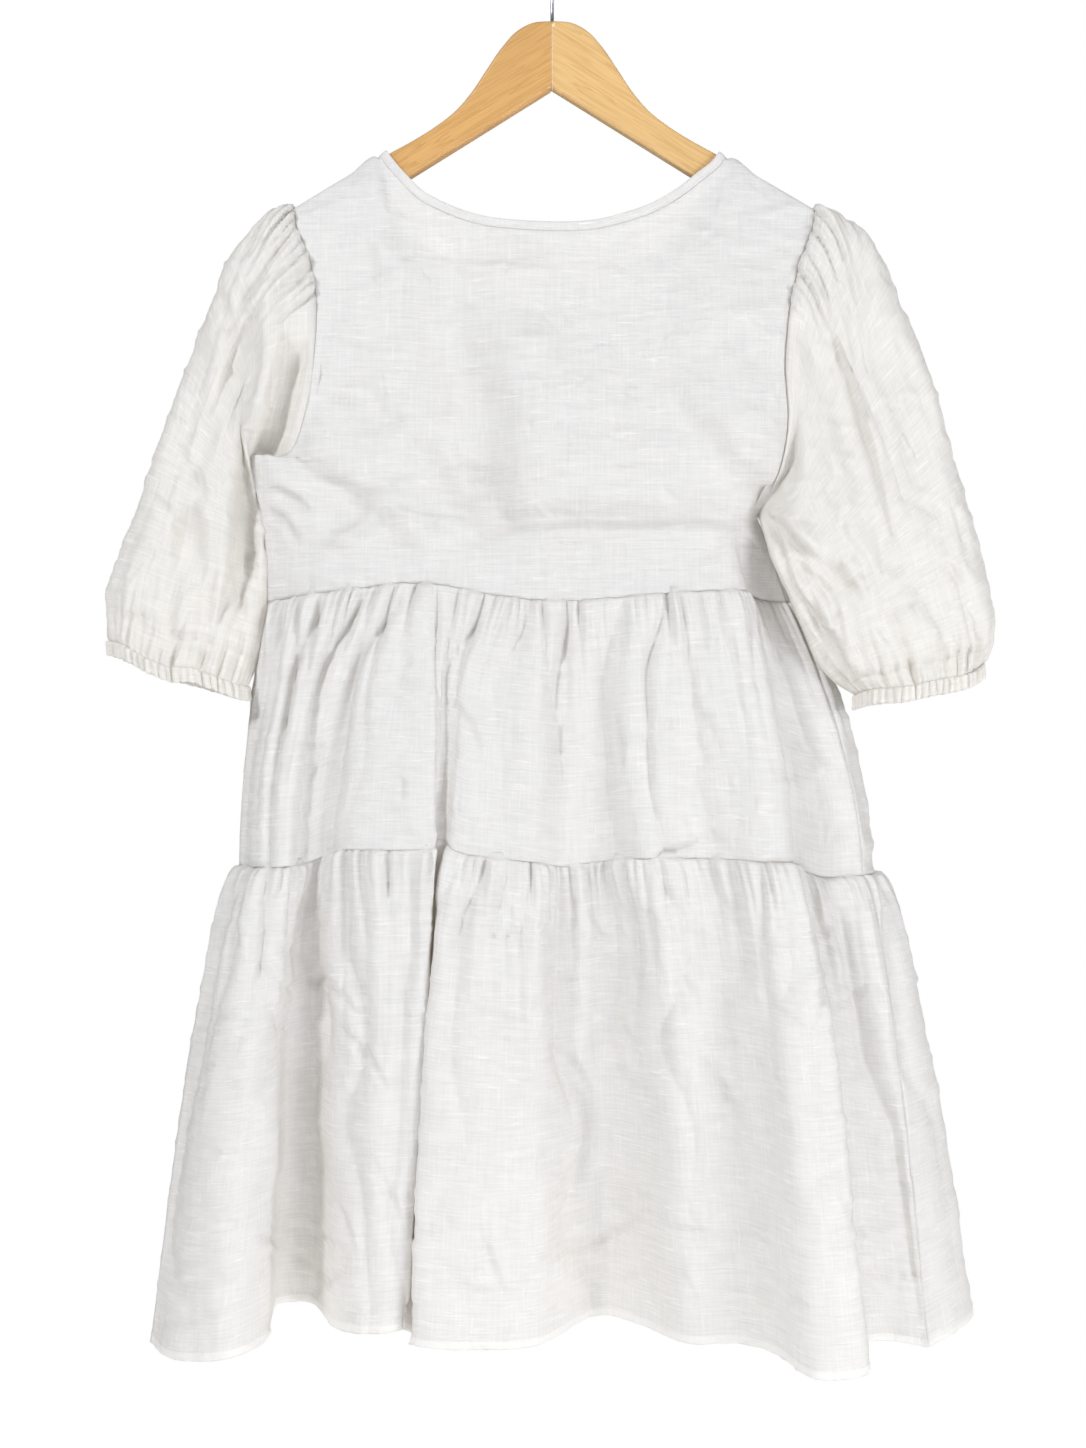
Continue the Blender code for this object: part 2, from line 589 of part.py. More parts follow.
def make_cuff(side, seam, out):
    """The shirred cuff under a sleeve's last row: pleats raised over a plain inside."""
    top = double(np.concatenate((seam, seam[:1])))[:-1] - np.array((0, 0, SEAM_GAP))
    out = unit(double(np.concatenate((out, out[:1])))[:-1])
    low = top + np.array((CUFF_LEAN[side], 0, -1)) * CUFF_HEIGHT
    count = len(top)
    pleats = [CUFF_PLEAT * (0.75 + 0.25 * unevenness(i, 5.0)) * (i % 2) for i in range(count)]
    outer = np.array((top, low)) + np.array(pleats)[None, :, None] * out
    wall(f"cuff_{side}", outer, np.array((top, low)) - CUFF_WALL * out, ring=True)


def make_binding(yokes, normals):
    """The bound neckline: a strip that carries on from both panels' neck edges, over the hanger's arms."""
    first, last = 3, PANEL_COLUMNS - 3
    low, high, out = [], [], []
    for which in ("back", "front"):
        edge = yokes[which][0, first : last + 1]
        tangent = unit(np.gradient(edge, axis=0))
        step = edge - yokes[which][1, first : last + 1]
        step = unit(step - tangent * np.sum(step * tangent, axis=1, keepdims=True))
        for end, inward in ((0, 1), (-1, -1)):
            along = np.array((inward * math.cos(ARM_SLOPE), 0, math.sin(ARM_SLOPE)))
            for k in range(3):
                number = end + k * inward
                step[number] = unit(step[number] * k / 3 + along * (3 - k) / 3)
        keep = slice(None) if which == "back" else slice(-2, 0, -1)
        low.append((edge + SEAM_GAP * step)[keep])
        high.append((edge + (SEAM_GAP + BINDING_WIDTH) * step)[keep])
        out.append(normals[which][0, first : last + 1][keep])
    outer = np.array((np.concatenate(high), np.concatenate(low)))
    wall("neck_binding", outer, outer - BINDING_WALL * np.concatenate(out)[None], ring=True)


def arm_outline():
    """The outline of the left arm in the hanger's plane, from the top of the mitre round to its foot."""
    hump = spline([(0, -62), (-15, -63.5), (-27, -70), (-38, -82), (-50, -99.5), (-61, -116), (-73, -130),
                   (-89, -142.5), (-105, -152.5), (-122, -161.8)])
    points = [hump(k / 11) for k in range(12)]
    run = np.array((-math.cos(ARM_SLOPE), -math.sin(ARM_SLOPE)))
    up = np.array((-run[1], run[0])) * -1
    up = up if up[1] > 0 else -up
    length = (ARM_TIP_ACROSS - 122 - ARM_HEIGHT / 2) / math.cos(ARM_SLOPE)
    corner = points[-1] + run * length
    centre = corner - up * ARM_HEIGHT / 2
    for k in range(7):
        turn = math.pi * k / 6
        points.append(centre + ARM_HEIGHT / 2 * (up * math.cos(turn) + run * math.sin(turn)))
    points.append(np.array((0.0, -113.5)))
    return np.array(points)


def make_arm(name, side):
    """One mitred half of the hanger, with its long edges rounded."""
    outline = arm_outline()
    around = np.roll(outline, -1, axis=0) - np.roll(outline, 1, axis=0)
    inward = np.stack((-around[:, 1], around[:, 0]), axis=1)
    for end in (0, -1):
        inward[end] = (0, -1 if end == 0 else 1)
    inward /= np.linalg.norm(inward, axis=1, keepdims=True)
    half = ARM_THICK / 2
    levels = []
    for turn in (0, 30, 60, 90):
        angle = math.radians(turn)
        levels.append((-half + ARM_ROUND * (1 - math.sin(angle)), ARM_ROUND * (1 - math.cos(angle))))
    levels = levels[::-1] + [(-depth, inset) for depth, inset in levels]
    rings = []
    for depth, inset in levels:
        flat = outline + inset * inward
        x = (flat[:, 0] - MITRE_GAP / 2) * (1 if side == "left" else -1)
        rings.append(np.stack((x, np.full(len(flat), depth), flat[:, 1]), axis=1))
    count = len(outline)
    points = np.concatenate(rings)
    faces = [tuple(range(count)), tuple(range(len(points) - 1, len(points) - count - 1, -1))]
    for ring in range(len(rings) - 1):
        for i in range(count):
            a, b = ring * count + i, ring * count + (i + 1) % count
            faces.append((a, a + count, b + count, b))
    if side == "right":
        faces = [face[::-1] for face in faces]
    add_object(name, points, faces, "wood")


def make_hook():
    """The wire: a straight stem, an S bend and a crook whose highest inner point is the origin."""
    centre = np.array((0.0, 0.0, -(CROOK_RADIUS - WIRE_RADIUS)))
    bend = spline([(0, 0, -46.0), (1.5, 0, -41.5), (7, 0, -36.8), (13.2, 0, -32.2)])
    path = [np.array((0.0, 0.0, -WOOD_TOP_DROP + 0.4)), np.array((0.0, 0.0, -52.0))]
    path += [bend(k / 4) for k in range(4)]
    start, stop = math.radians(-47), math.radians(196)
    for k in range(17):
        angle = start + (stop - start) * k / 16
        path.append(centre + CROOK_RADIUS * np.array((math.cos(angle), 0, math.sin(angle))))
    sides = 10
    tangents = np.gradient(np.array(path), axis=0)
    points, faces = [], []
    for place, tangent in zip(path, tangents):
        tangent = tangent / np.linalg.norm(tangent)
        out = np.array((tangent[2], 0, -tangent[0]))
        for k in range(sides):
            turn = 2 * math.pi * k / sides
            points.append(place + WIRE_RADIUS * (out * math.cos(turn) + np.array((0, 1, 0)) * math.sin(turn)))
    for ring in range(len(path) - 1):
        for k in range(sides):
            a, b = ring * sides + k, ring * sides + (k + 1) % sides
            faces.append((a, b, b + sides, a + sides))
    faces.append(tuple(range(sides))[::-1])
    faces.append(tuple(range(len(points) - sides, len(points))))
    add_object("hanger_hook", points, faces, "wire")


def main():
    for old in list(bpy.data.objects):
        bpy.data.objects.remove(old)
    sides = ("back", "front")
    yokes = {which: yoke(which) for which in sides}
    top = {which: shoulder_normals(yokes[which], which) for which in sides}
    normals = panel_normals(yokes, ARMHOLE_ROWS - 1, top)
    for which in sides:
        make_panel(f"yoke_{which}", which, yokes[which], normals[which])
    hang = {which: double(yokes[which][-1]) for which in sides}
    level = {which: unit(double(normals[which][-1])) for which in sides}
    for name, bottom, rows, seed in (("tier1", "tier", TIER1_ROWS, 1.0), ("tier2", "hem", TIER2_ROWS, 2.0)):
        pair = {
            which: tier(which, name, hang[which] - np.array((0, 0, SEAM_GAP)), level[which], bottom, rows, seed)
            for which in sides
        }
        made = panel_normals(pair, 0, level)
        for which in sides:
            make_panel(f"{name}_{which}", which, pair[which], made[which])
            hang[which], level[which] = pair[which][-1], made[which][-1]
    for side in ("left", "right"):
        make_cuff(side, *make_sleeve(side, yokes, normals))
    make_binding(yokes, normals)
    make_arm("hanger_left", "left")
    make_arm("hanger_right", "right")
    make_hook()


main()
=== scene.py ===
"""The looks of the tiered smock dress on its wooden hanger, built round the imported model.

Tables are in millimetres. Their across and drop columns are places as seen in the hanger's plane from the
camera. Drop is measured down from the origin, and depth is how far behind the hanger's plane the place lies.
The back of the dress faces the camera. Each piece of cloth is a thin shell that follows its solid, with finer
gathers, creases and slack. The left sleeve's inner edge lies nearer to the body than that of its solid.
"""

import math

import bpy
import numpy as np
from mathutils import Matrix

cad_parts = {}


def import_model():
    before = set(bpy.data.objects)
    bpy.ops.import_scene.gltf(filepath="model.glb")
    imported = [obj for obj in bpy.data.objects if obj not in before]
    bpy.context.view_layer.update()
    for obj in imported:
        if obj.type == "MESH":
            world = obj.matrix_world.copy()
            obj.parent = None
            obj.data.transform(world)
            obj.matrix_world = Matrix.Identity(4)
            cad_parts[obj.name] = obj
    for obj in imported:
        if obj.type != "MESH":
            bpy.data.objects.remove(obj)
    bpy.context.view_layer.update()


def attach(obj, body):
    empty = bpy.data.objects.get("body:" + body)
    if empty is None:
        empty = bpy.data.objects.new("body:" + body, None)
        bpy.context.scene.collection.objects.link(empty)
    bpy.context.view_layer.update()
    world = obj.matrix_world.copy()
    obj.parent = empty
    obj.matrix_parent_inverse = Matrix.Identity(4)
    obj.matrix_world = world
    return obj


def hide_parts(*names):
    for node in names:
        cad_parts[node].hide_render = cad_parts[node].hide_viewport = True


MM = 0.001

# The photograph's vantage and frame. The distance is assumed.
EYE_ACROSS = -7.0
EYE_DROP = 595.0
EYE_DISTANCE = 1600.0
PHOTO_HEIGHT = 1448
MM_PER_PIXEL = 0.76
FRAME_HEIGHT = PHOTO_HEIGHT * MM_PER_PIXEL
SENSOR = 36.0

# Cloth: the thickness of a shell, and the gap between sewn pieces
CLOTH = 0.6
SEAM_GAP = 0.35

# Hanger
ARM_THICK = 12.0
ARM_ROUND = 2.6
ARM_HEIGHT = 24.0
ARM_SLOPE = math.radians(31.5)
ARM_TIP_ACROSS = 186.0
WOOD_TOP_DROP = 62.0
MITRE_GAP = 0.3
# The top edge of the left arm, from the mitre to where it runs straight, and its lower edge at the mitre
ARM_HUMP = (
    (0, -62), (-15, -63.5), (-27, -70), (-38, -82), (-50, -99.5), (-61, -116), (-73, -130),
    (-89, -142.5), (-105, -152.5), (-122, -161.8),
)
ARM_FOOT = (0.0, -113.5)
ARM_FLAT_RING = 3.0
WIRE_RADIUS = 1.4
WIRE_SIDES = 20
WIRE_SUNK = 0.4
STEM_TOP_DROP = 52.0
CROOK_RADIUS = 18.0 + WIRE_RADIUS
CROOK_TURN = (math.radians(-47), math.radians(196))
TIP_TURNS = (0.5, 1.0, 1.4)
HOOK_BEND = ((0, 0, -46.0), (1.5, 0, -41.5), (7, 0, -36.8), (13.2, 0, -32.2))

# How the cloth lies over an arm, row by row: how far below its top line, and how far from the middle plane
OVER_ARM = ((0.0, 0.2), (1.4, 6.6), (6.0, 8.8))

# The folds of the skirt, from the left side seam round the near side, then back along the far side. Each row
# is one crest, valley or seam, given at the underarm, the yoke seam, the tier seam and the hem.
FOLD_COLUMNS = (
    "name",
    "arm_across", "arm_drop", "arm_depth",
    "yoke_across", "yoke_drop", "yoke_depth",
    "tier_across", "tier_drop", "tier_depth",
    "hem_across", "hem_drop", "hem_depth",
)
BACK_FOLDS = (
    ("left side seam", -232, 393, 2, -216, 503, 0, -238, 702, 0, -305, 1065, 18),
    ("left lobe", -216, 396, -10, -199, 499, -12, -226, 704, -18, -283, 1079, -26),
    ("left lobe crest", -199, 399, -17, -182, 496, -20, -214, 704, -26, -245, 1077, -40),
    ("left lobe turn", -182, 402, -21, -166, 494, -25, -201, 703, -26, -217, 1064, -20),
    ("left trough", -166, 406, -24, -149, 492, -28, -187, 701, -14, -207, 1035, 28),
    ("left trough floor", -149, 409, -25, -132, 490, -30, -175, 696, -14, -188, 1034, 34),
    ("second lobe start", -132, 410, -26, -116, 488, -31, -161, 691, -28, -163, 1055, 0),
    ("second lobe", -116, 412, -27, -100, 488, -32, -131, 691, -38, -134, 1059, -18),
    ("flap edge", -100, 413, -28, -87, 489, -33, -88, 688, -37, -111, 1055, -12),
    ("flap return", -85, 414, -28, -73, 491, -33, -90, 686, -32, -121, 1053, 6),
    ("under the flap", -70, 415, -28, -58, 494, -34, -83, 683, -30, -106, 1058, 12),
    ("after the flap", -55, 415, -28, -43, 497, -34, -76, 690, -36, -107, 1067, -24),
    ("third lobe", -38, 416, -29, -27, 499, -35, -43, 697, -38, -55, 1071, -26),
    ("third lobe turn", -20, 416, -29, -9, 501, -35, -15, 700, -36, -13, 1068, -16),
    ("middle trough", -2, 416, -29, 9, 501, -35, 8, 703, -22, 20, 1050, 20),
    ("middle trough floor", 17, 416, -29, 29, 501, -35, 30, 700, -18, 39, 1044, 32),
    ("fourth lobe start", 36, 416, -29, 47, 499, -36, 52, 698, -30, 67, 1052, 14),
    ("fourth lobe", 56, 417, -28, 68, 497, -37, 78, 697, -40, 105, 1066, -20),
    ("shallow valley", 76, 418, -28, 91, 495, -37, 109, 697, -32, 144, 1066, -26),
    ("near lobe start", 94, 420, -27, 114, 494, -36, 135, 698, -38, 169, 1074, -48),
    ("near lobe", 112, 423, -26, 134, 493, -32, 164, 700, -46, 200, 1093, -76),
    ("near fold edge", 128, 427, -24, 147, 493, -20, 184, 700, -34, 241, 1089, -72),
    ("fold return", 141, 430, -18, 146, 495, -4, 180, 702, -12, 235, 1067, -32),
    ("gore", 150, 433, -9, 161, 501, 8, 205, 711, -4, 259, 1064, -12),
    ("right side seam", 156, 437, 2, 179, 503, 14, 236, 710, 6, 285, 1069, -8),
)
FRONT_FOLDS = (
    ("right side", 154, 436, 9, 188, 503, 24, 245, 707, 26, 318, 1048, 26),
    ("right far corner", 146, 434, 18, 185, 503, 38, 239, 705, 52, 312, 1030, 70),
    ("far lobe 1", 117, 429, 30, 166, 504, 48, 211, 699, 74, 276, 1020, 122),
    ("far trough 1", 90, 425, 35, 139, 505, 52, 181, 696, 64, 234, 1030, 88),
    ("far lobe 2", 62, 422, 38, 105, 506, 56, 139, 691, 80, 181, 1020, 128),
    ("far trough 2", 35, 421, 40, 71, 506, 56, 101, 693, 66, 124, 1031, 84),
    ("far lobe 3", 6, 419, 41, 33, 506, 58, 63, 691, 84, 67, 1021, 124),
    ("far trough 3", -24, 418, 41, -5, 506, 58, 17, 692, 70, 6, 1031, 86),
    ("far lobe 4", -55, 418, 40, -43, 506, 57, -32, 691, 84, -55, 1021, 128),
    ("far trough 4", -85, 416, 38, -81, 506, 54, -78, 694, 66, -116, 1033, 80),
    ("far lobe 5", -116, 414, 36, -119, 505, 50, -127, 693, 76, -180, 1022, 120),
    ("left far corner", -157, 409, 30, -169, 504, 38, -192, 699, 56, -256, 1031, 90),
    ("left side", -207, 399, 16, -203, 503, 18, -228, 703, 30, -298, 1052, 56),
)
PANEL_COLUMNS = 24
# How far these crests lean to the right half way down the lower tier
FLAP_LEAN = {"flap edge": 6.0, "after the flap": -3.0}
SIDE_ROWS = (0.0, 0.25, 0.5, 0.75, 1.0)
SIDE_FADE = 3
SIDE_SEAM_CURVE = 2.2

# The armhole of each panel, from the shoulder point to the underarm: across, drop, depth
ARMHOLES = {
    ("back", "left"): (
        (-190, 211, -8.6), (-183, 247, -14), (-179, 290, -20), (-183, 330, -22), (-189, 364, -20),
        (-197, 387, -15), (-214, 393, -9), (-232, 393, 2),
    ),
    ("front", "left"): (
        (-190, 211, 8.6), (-181, 250, 16), (-174, 294, 22), (-176, 330, 25), (-184, 362, 24),
        (-196, 386, 20), (-214, 393, 13), (-232, 393, 2),
    ),
    ("back", "right"): (
        (195, 212, -8.6), (187, 246, -14), (179, 290, -20), (177, 329, -23), (179, 366, -22),
        (175, 394, -20), (167, 415, -13), (156, 437, 2),
    ),
    ("front", "right"): (
        (195, 212, 8.6), (185, 248, 16), (174, 294, 22), (170, 332, 26), (172, 368, 27),
        (170, 396, 24), (166, 416, 16), (156, 437, 2),
    ),
}
SHOULDER_POINTS = {"left": (-195, 203), "right": (198, 204)}
NECK_POINTS = {"left": (-132, 165), "right": (133, 166)}

# The neckline where the binding is sewn on, between the two neck points: across, drop, depth
NECKLINES = {
    "back": (
        (-130.9, 164.3, -7.2), (-126.2, 170.5, -9.3), (-116, 182, -9.4), (-103, 195, -10),
        (-87, 204, -11), (-67, 212, -13), (-46, 217, -14), (-25, 219, -15), (-4, 220, -15),
        (17, 220, -15), (37, 218, -15), (57, 213, -14), (77, 206, -12), (97, 195, -10), (115, 181, -9.4),
        (127.3, 171, -9.3), (131.9, 165.1, -7.2),
    ),
    "front": (
        (-130, 168.1, 7.2), (-127.3, 176.4, 9.3), (-123, 189, 9.6), (-117, 206, 12), (-105, 225, 15),
        (-86, 243, 19), (-65, 255, 22), (-40, 262, 24), (-14, 266, 25), (14, 266, 25), (40, 262, 24),
        (66, 255, 22), (94, 238, 18), (112, 217, 13), (123, 191, 9.6), (128, 177, 9.3), (130.8, 169, 7.2),
    ),
}
BINDING_WIDTH = 6.8

# Sleeve outlines: the outer edge, the inner edge and the seam to the cuff, which has a near and a far side
SLEEVE_OUTER = {
    "left": (
        (-195, 203, 0), (-206, 203, 0), (-222, 215, 2), (-240, 233, 4), (-252, 256, 5), (-264, 288, 6),
        (-286, 341, 6), (-305, 396, 6), (-318, 435, 6), (-332, 470, 5), (-339, 499, 5), (-337, 531, 4),
    ),
    "right": (
        (198, 204, 0), (208, 203, 0), (222, 210, 2), (240, 226, 4), (254, 246, 5), (267, 281, 6),
        (290, 341, 6), (306, 392, 6), (320, 440, 6), (333, 488, 5), (337, 518, 5), (328, 548, 4),
    ),
}
SLEEVE_INNER = {
    "left": (
        (-232, 393, 2), (-228, 402, 5), (-221, 420, 8), (-215, 442, 10), (-211, 470, 11), (-210, 500, 11),
        (-217, 535, 8), (-231, 566, -4),
    ),
    "right": (
        (156, 437, 2), (161, 452, -10), (167, 472, -17), (178, 495, -18), (190, 523, -13), (201, 548, -5),
        (214, 563, 0), (230, 573, 3),
    ),
}
CUFF_SEAM = {
    ("near", "left"): (
        (-337, 531, 4), (-326, 534, -14), (-309, 544, -24), (-291, 551, -28), (-273, 552, -29),
        (-257, 558, -27), (-241, 564, -20), (-231, 566, -4),
    ),
    ("far", "left"): (
        (-337, 531, 4), (-324, 536, 20), (-306, 545, 29), (-284, 552, 33), (-262, 558, 31),
        (-243, 564, 17), (-231, 566, -4),
    ),
    ("near", "right"): (
        (328, 548, 4), (316, 556, -16), (291, 561, -27), (268, 566, -29), (245, 568, -20), (230, 573, 3),
    ),
    ("far", "right"): (
        (328, 548, 4), (316, 556, 20), (291, 562, 31), (266, 567, 32), (244, 569, 22), (230, 573, 3),
    ),
}
PUFF_DEPTH = {"near": 24.0, "far": 22.0}
CUFF_HEIGHT = 11.0
CUFF_LEAN = {"left": 0.10, "right": -0.02}
INNER_SLOWNESS = {"left": 2.4, "right": 1.5}
ARM_LEAVE = 6.0
PUFF_RISE = 0.45
PUFF_ROUND = 0.45
ARMHOLE_ROWS = 9

# Sleeve folds: a line between two places on one side of the sleeve. Along is the share of the way from the
# armhole to the cuff, round the share from the outer edge to the inner edge. Push is towards the far side.
SLEEVE_FOLD_COLUMNS = ("side", "face", "along_0", "round_0", "along_1", "round_1", "width", "push")
SLEEVE_FOLDS = (
    ("left", "near", 0.10, 0.38, 0.12, 0.82, 0.060, -8),
    ("left", "near", 0.34, 0.82, 0.74, 0.80, 0.075, 15),
    ("left", "far", 0.22, 0.84, 0.72, 0.80, 0.120, 10),
    ("left", "near", 0.30, 0.45, 0.85, 0.40, 0.090, 7),
    ("left", "far", 0.20, 0.55, 0.85, 0.50, 0.120, -12),
    ("left", "far", 0.15, 0.25, 0.60, 0.25, 0.100, -7),
    ("right", "near", 0.10, 0.30, 0.62, 0.50, 0.100, 5),
    ("right", "near", 0.14, 0.62, 0.66, 0.78, 0.080, 5),
    ("right", "near", 0.34, 0.20, 0.88, 0.30, 0.090, 6),
    ("right", "far", 0.20, 0.50, 0.85, 0.55, 0.120, -12),
    ("right", "far", 0.15, 0.78, 0.60, 0.72, 0.100, -7),
)

# Gathers under a seam, in sets from fine to broad. A set's folds are spaced this far apart and stand this
# high, they reach full height at starts, and they have faded at reach.
WAVE_COLUMNS = ("spacing", "height", "starts", "reach")
TIER1_WAVES = ((8.0, 2.4, 0.8, 30.0), (15.0, 3.4, 4.0, 80.0), (31.0, 6.4, 18.0, 210.0))
TIER2_WAVES = ((8.6, 2.5, 0.8, 34.0), (17.0, 3.8, 4.0, 90.0), (36.0, 5.8, 22.0, 260.0))
CAP_WAVES = ((9.0, 4.2, 0.8, 24.0), (18.0, 4.0, 3.0, 44.0), (29.0, 2.0, 12.0, 80.0))
CAP_GATHERED = (62.0, 108.0)
CAP_SLANT = 34.0

# Ledges on a sleeve's near side: cloth on the body's side of this line lies further back by push, and comes
# forward again within width
LEDGE_COLUMNS = ("across_0", "drop_0", "across_1", "drop_1", "bow", "width", "end", "push")
LEDGES = {
    "left": ((-203, 288, -232, 400, 0, 30, 0.12, 13), (-230, 386, -256, 530, -3, 27, 0.2, 8)),
    "right": ((195, 255, 262, 490, -12, 34, 0.6, 9),),
}

# Crumpled ridges over all of the cloth: their run across and down, and their height. RIDGE_DRIFT is how far
# they stray.
RIDGES = ((46.0, 21.0, 0.75), (23.0, 11.0, 0.44), (11.0, 6.0, 0.2))
RIDGE_DRIFT = 9.0
CUFF_WAVES = ((5.6, 1.5, 0.8, 13.0), (11.0, 2.8, 3.0, 34.0), (24.0, 3.2, 10.0, 90.0))
PUCKERS = ((7.5, 0.5, 0.5, 9.0), (16.0, 0.6, 2.0, 22.0))

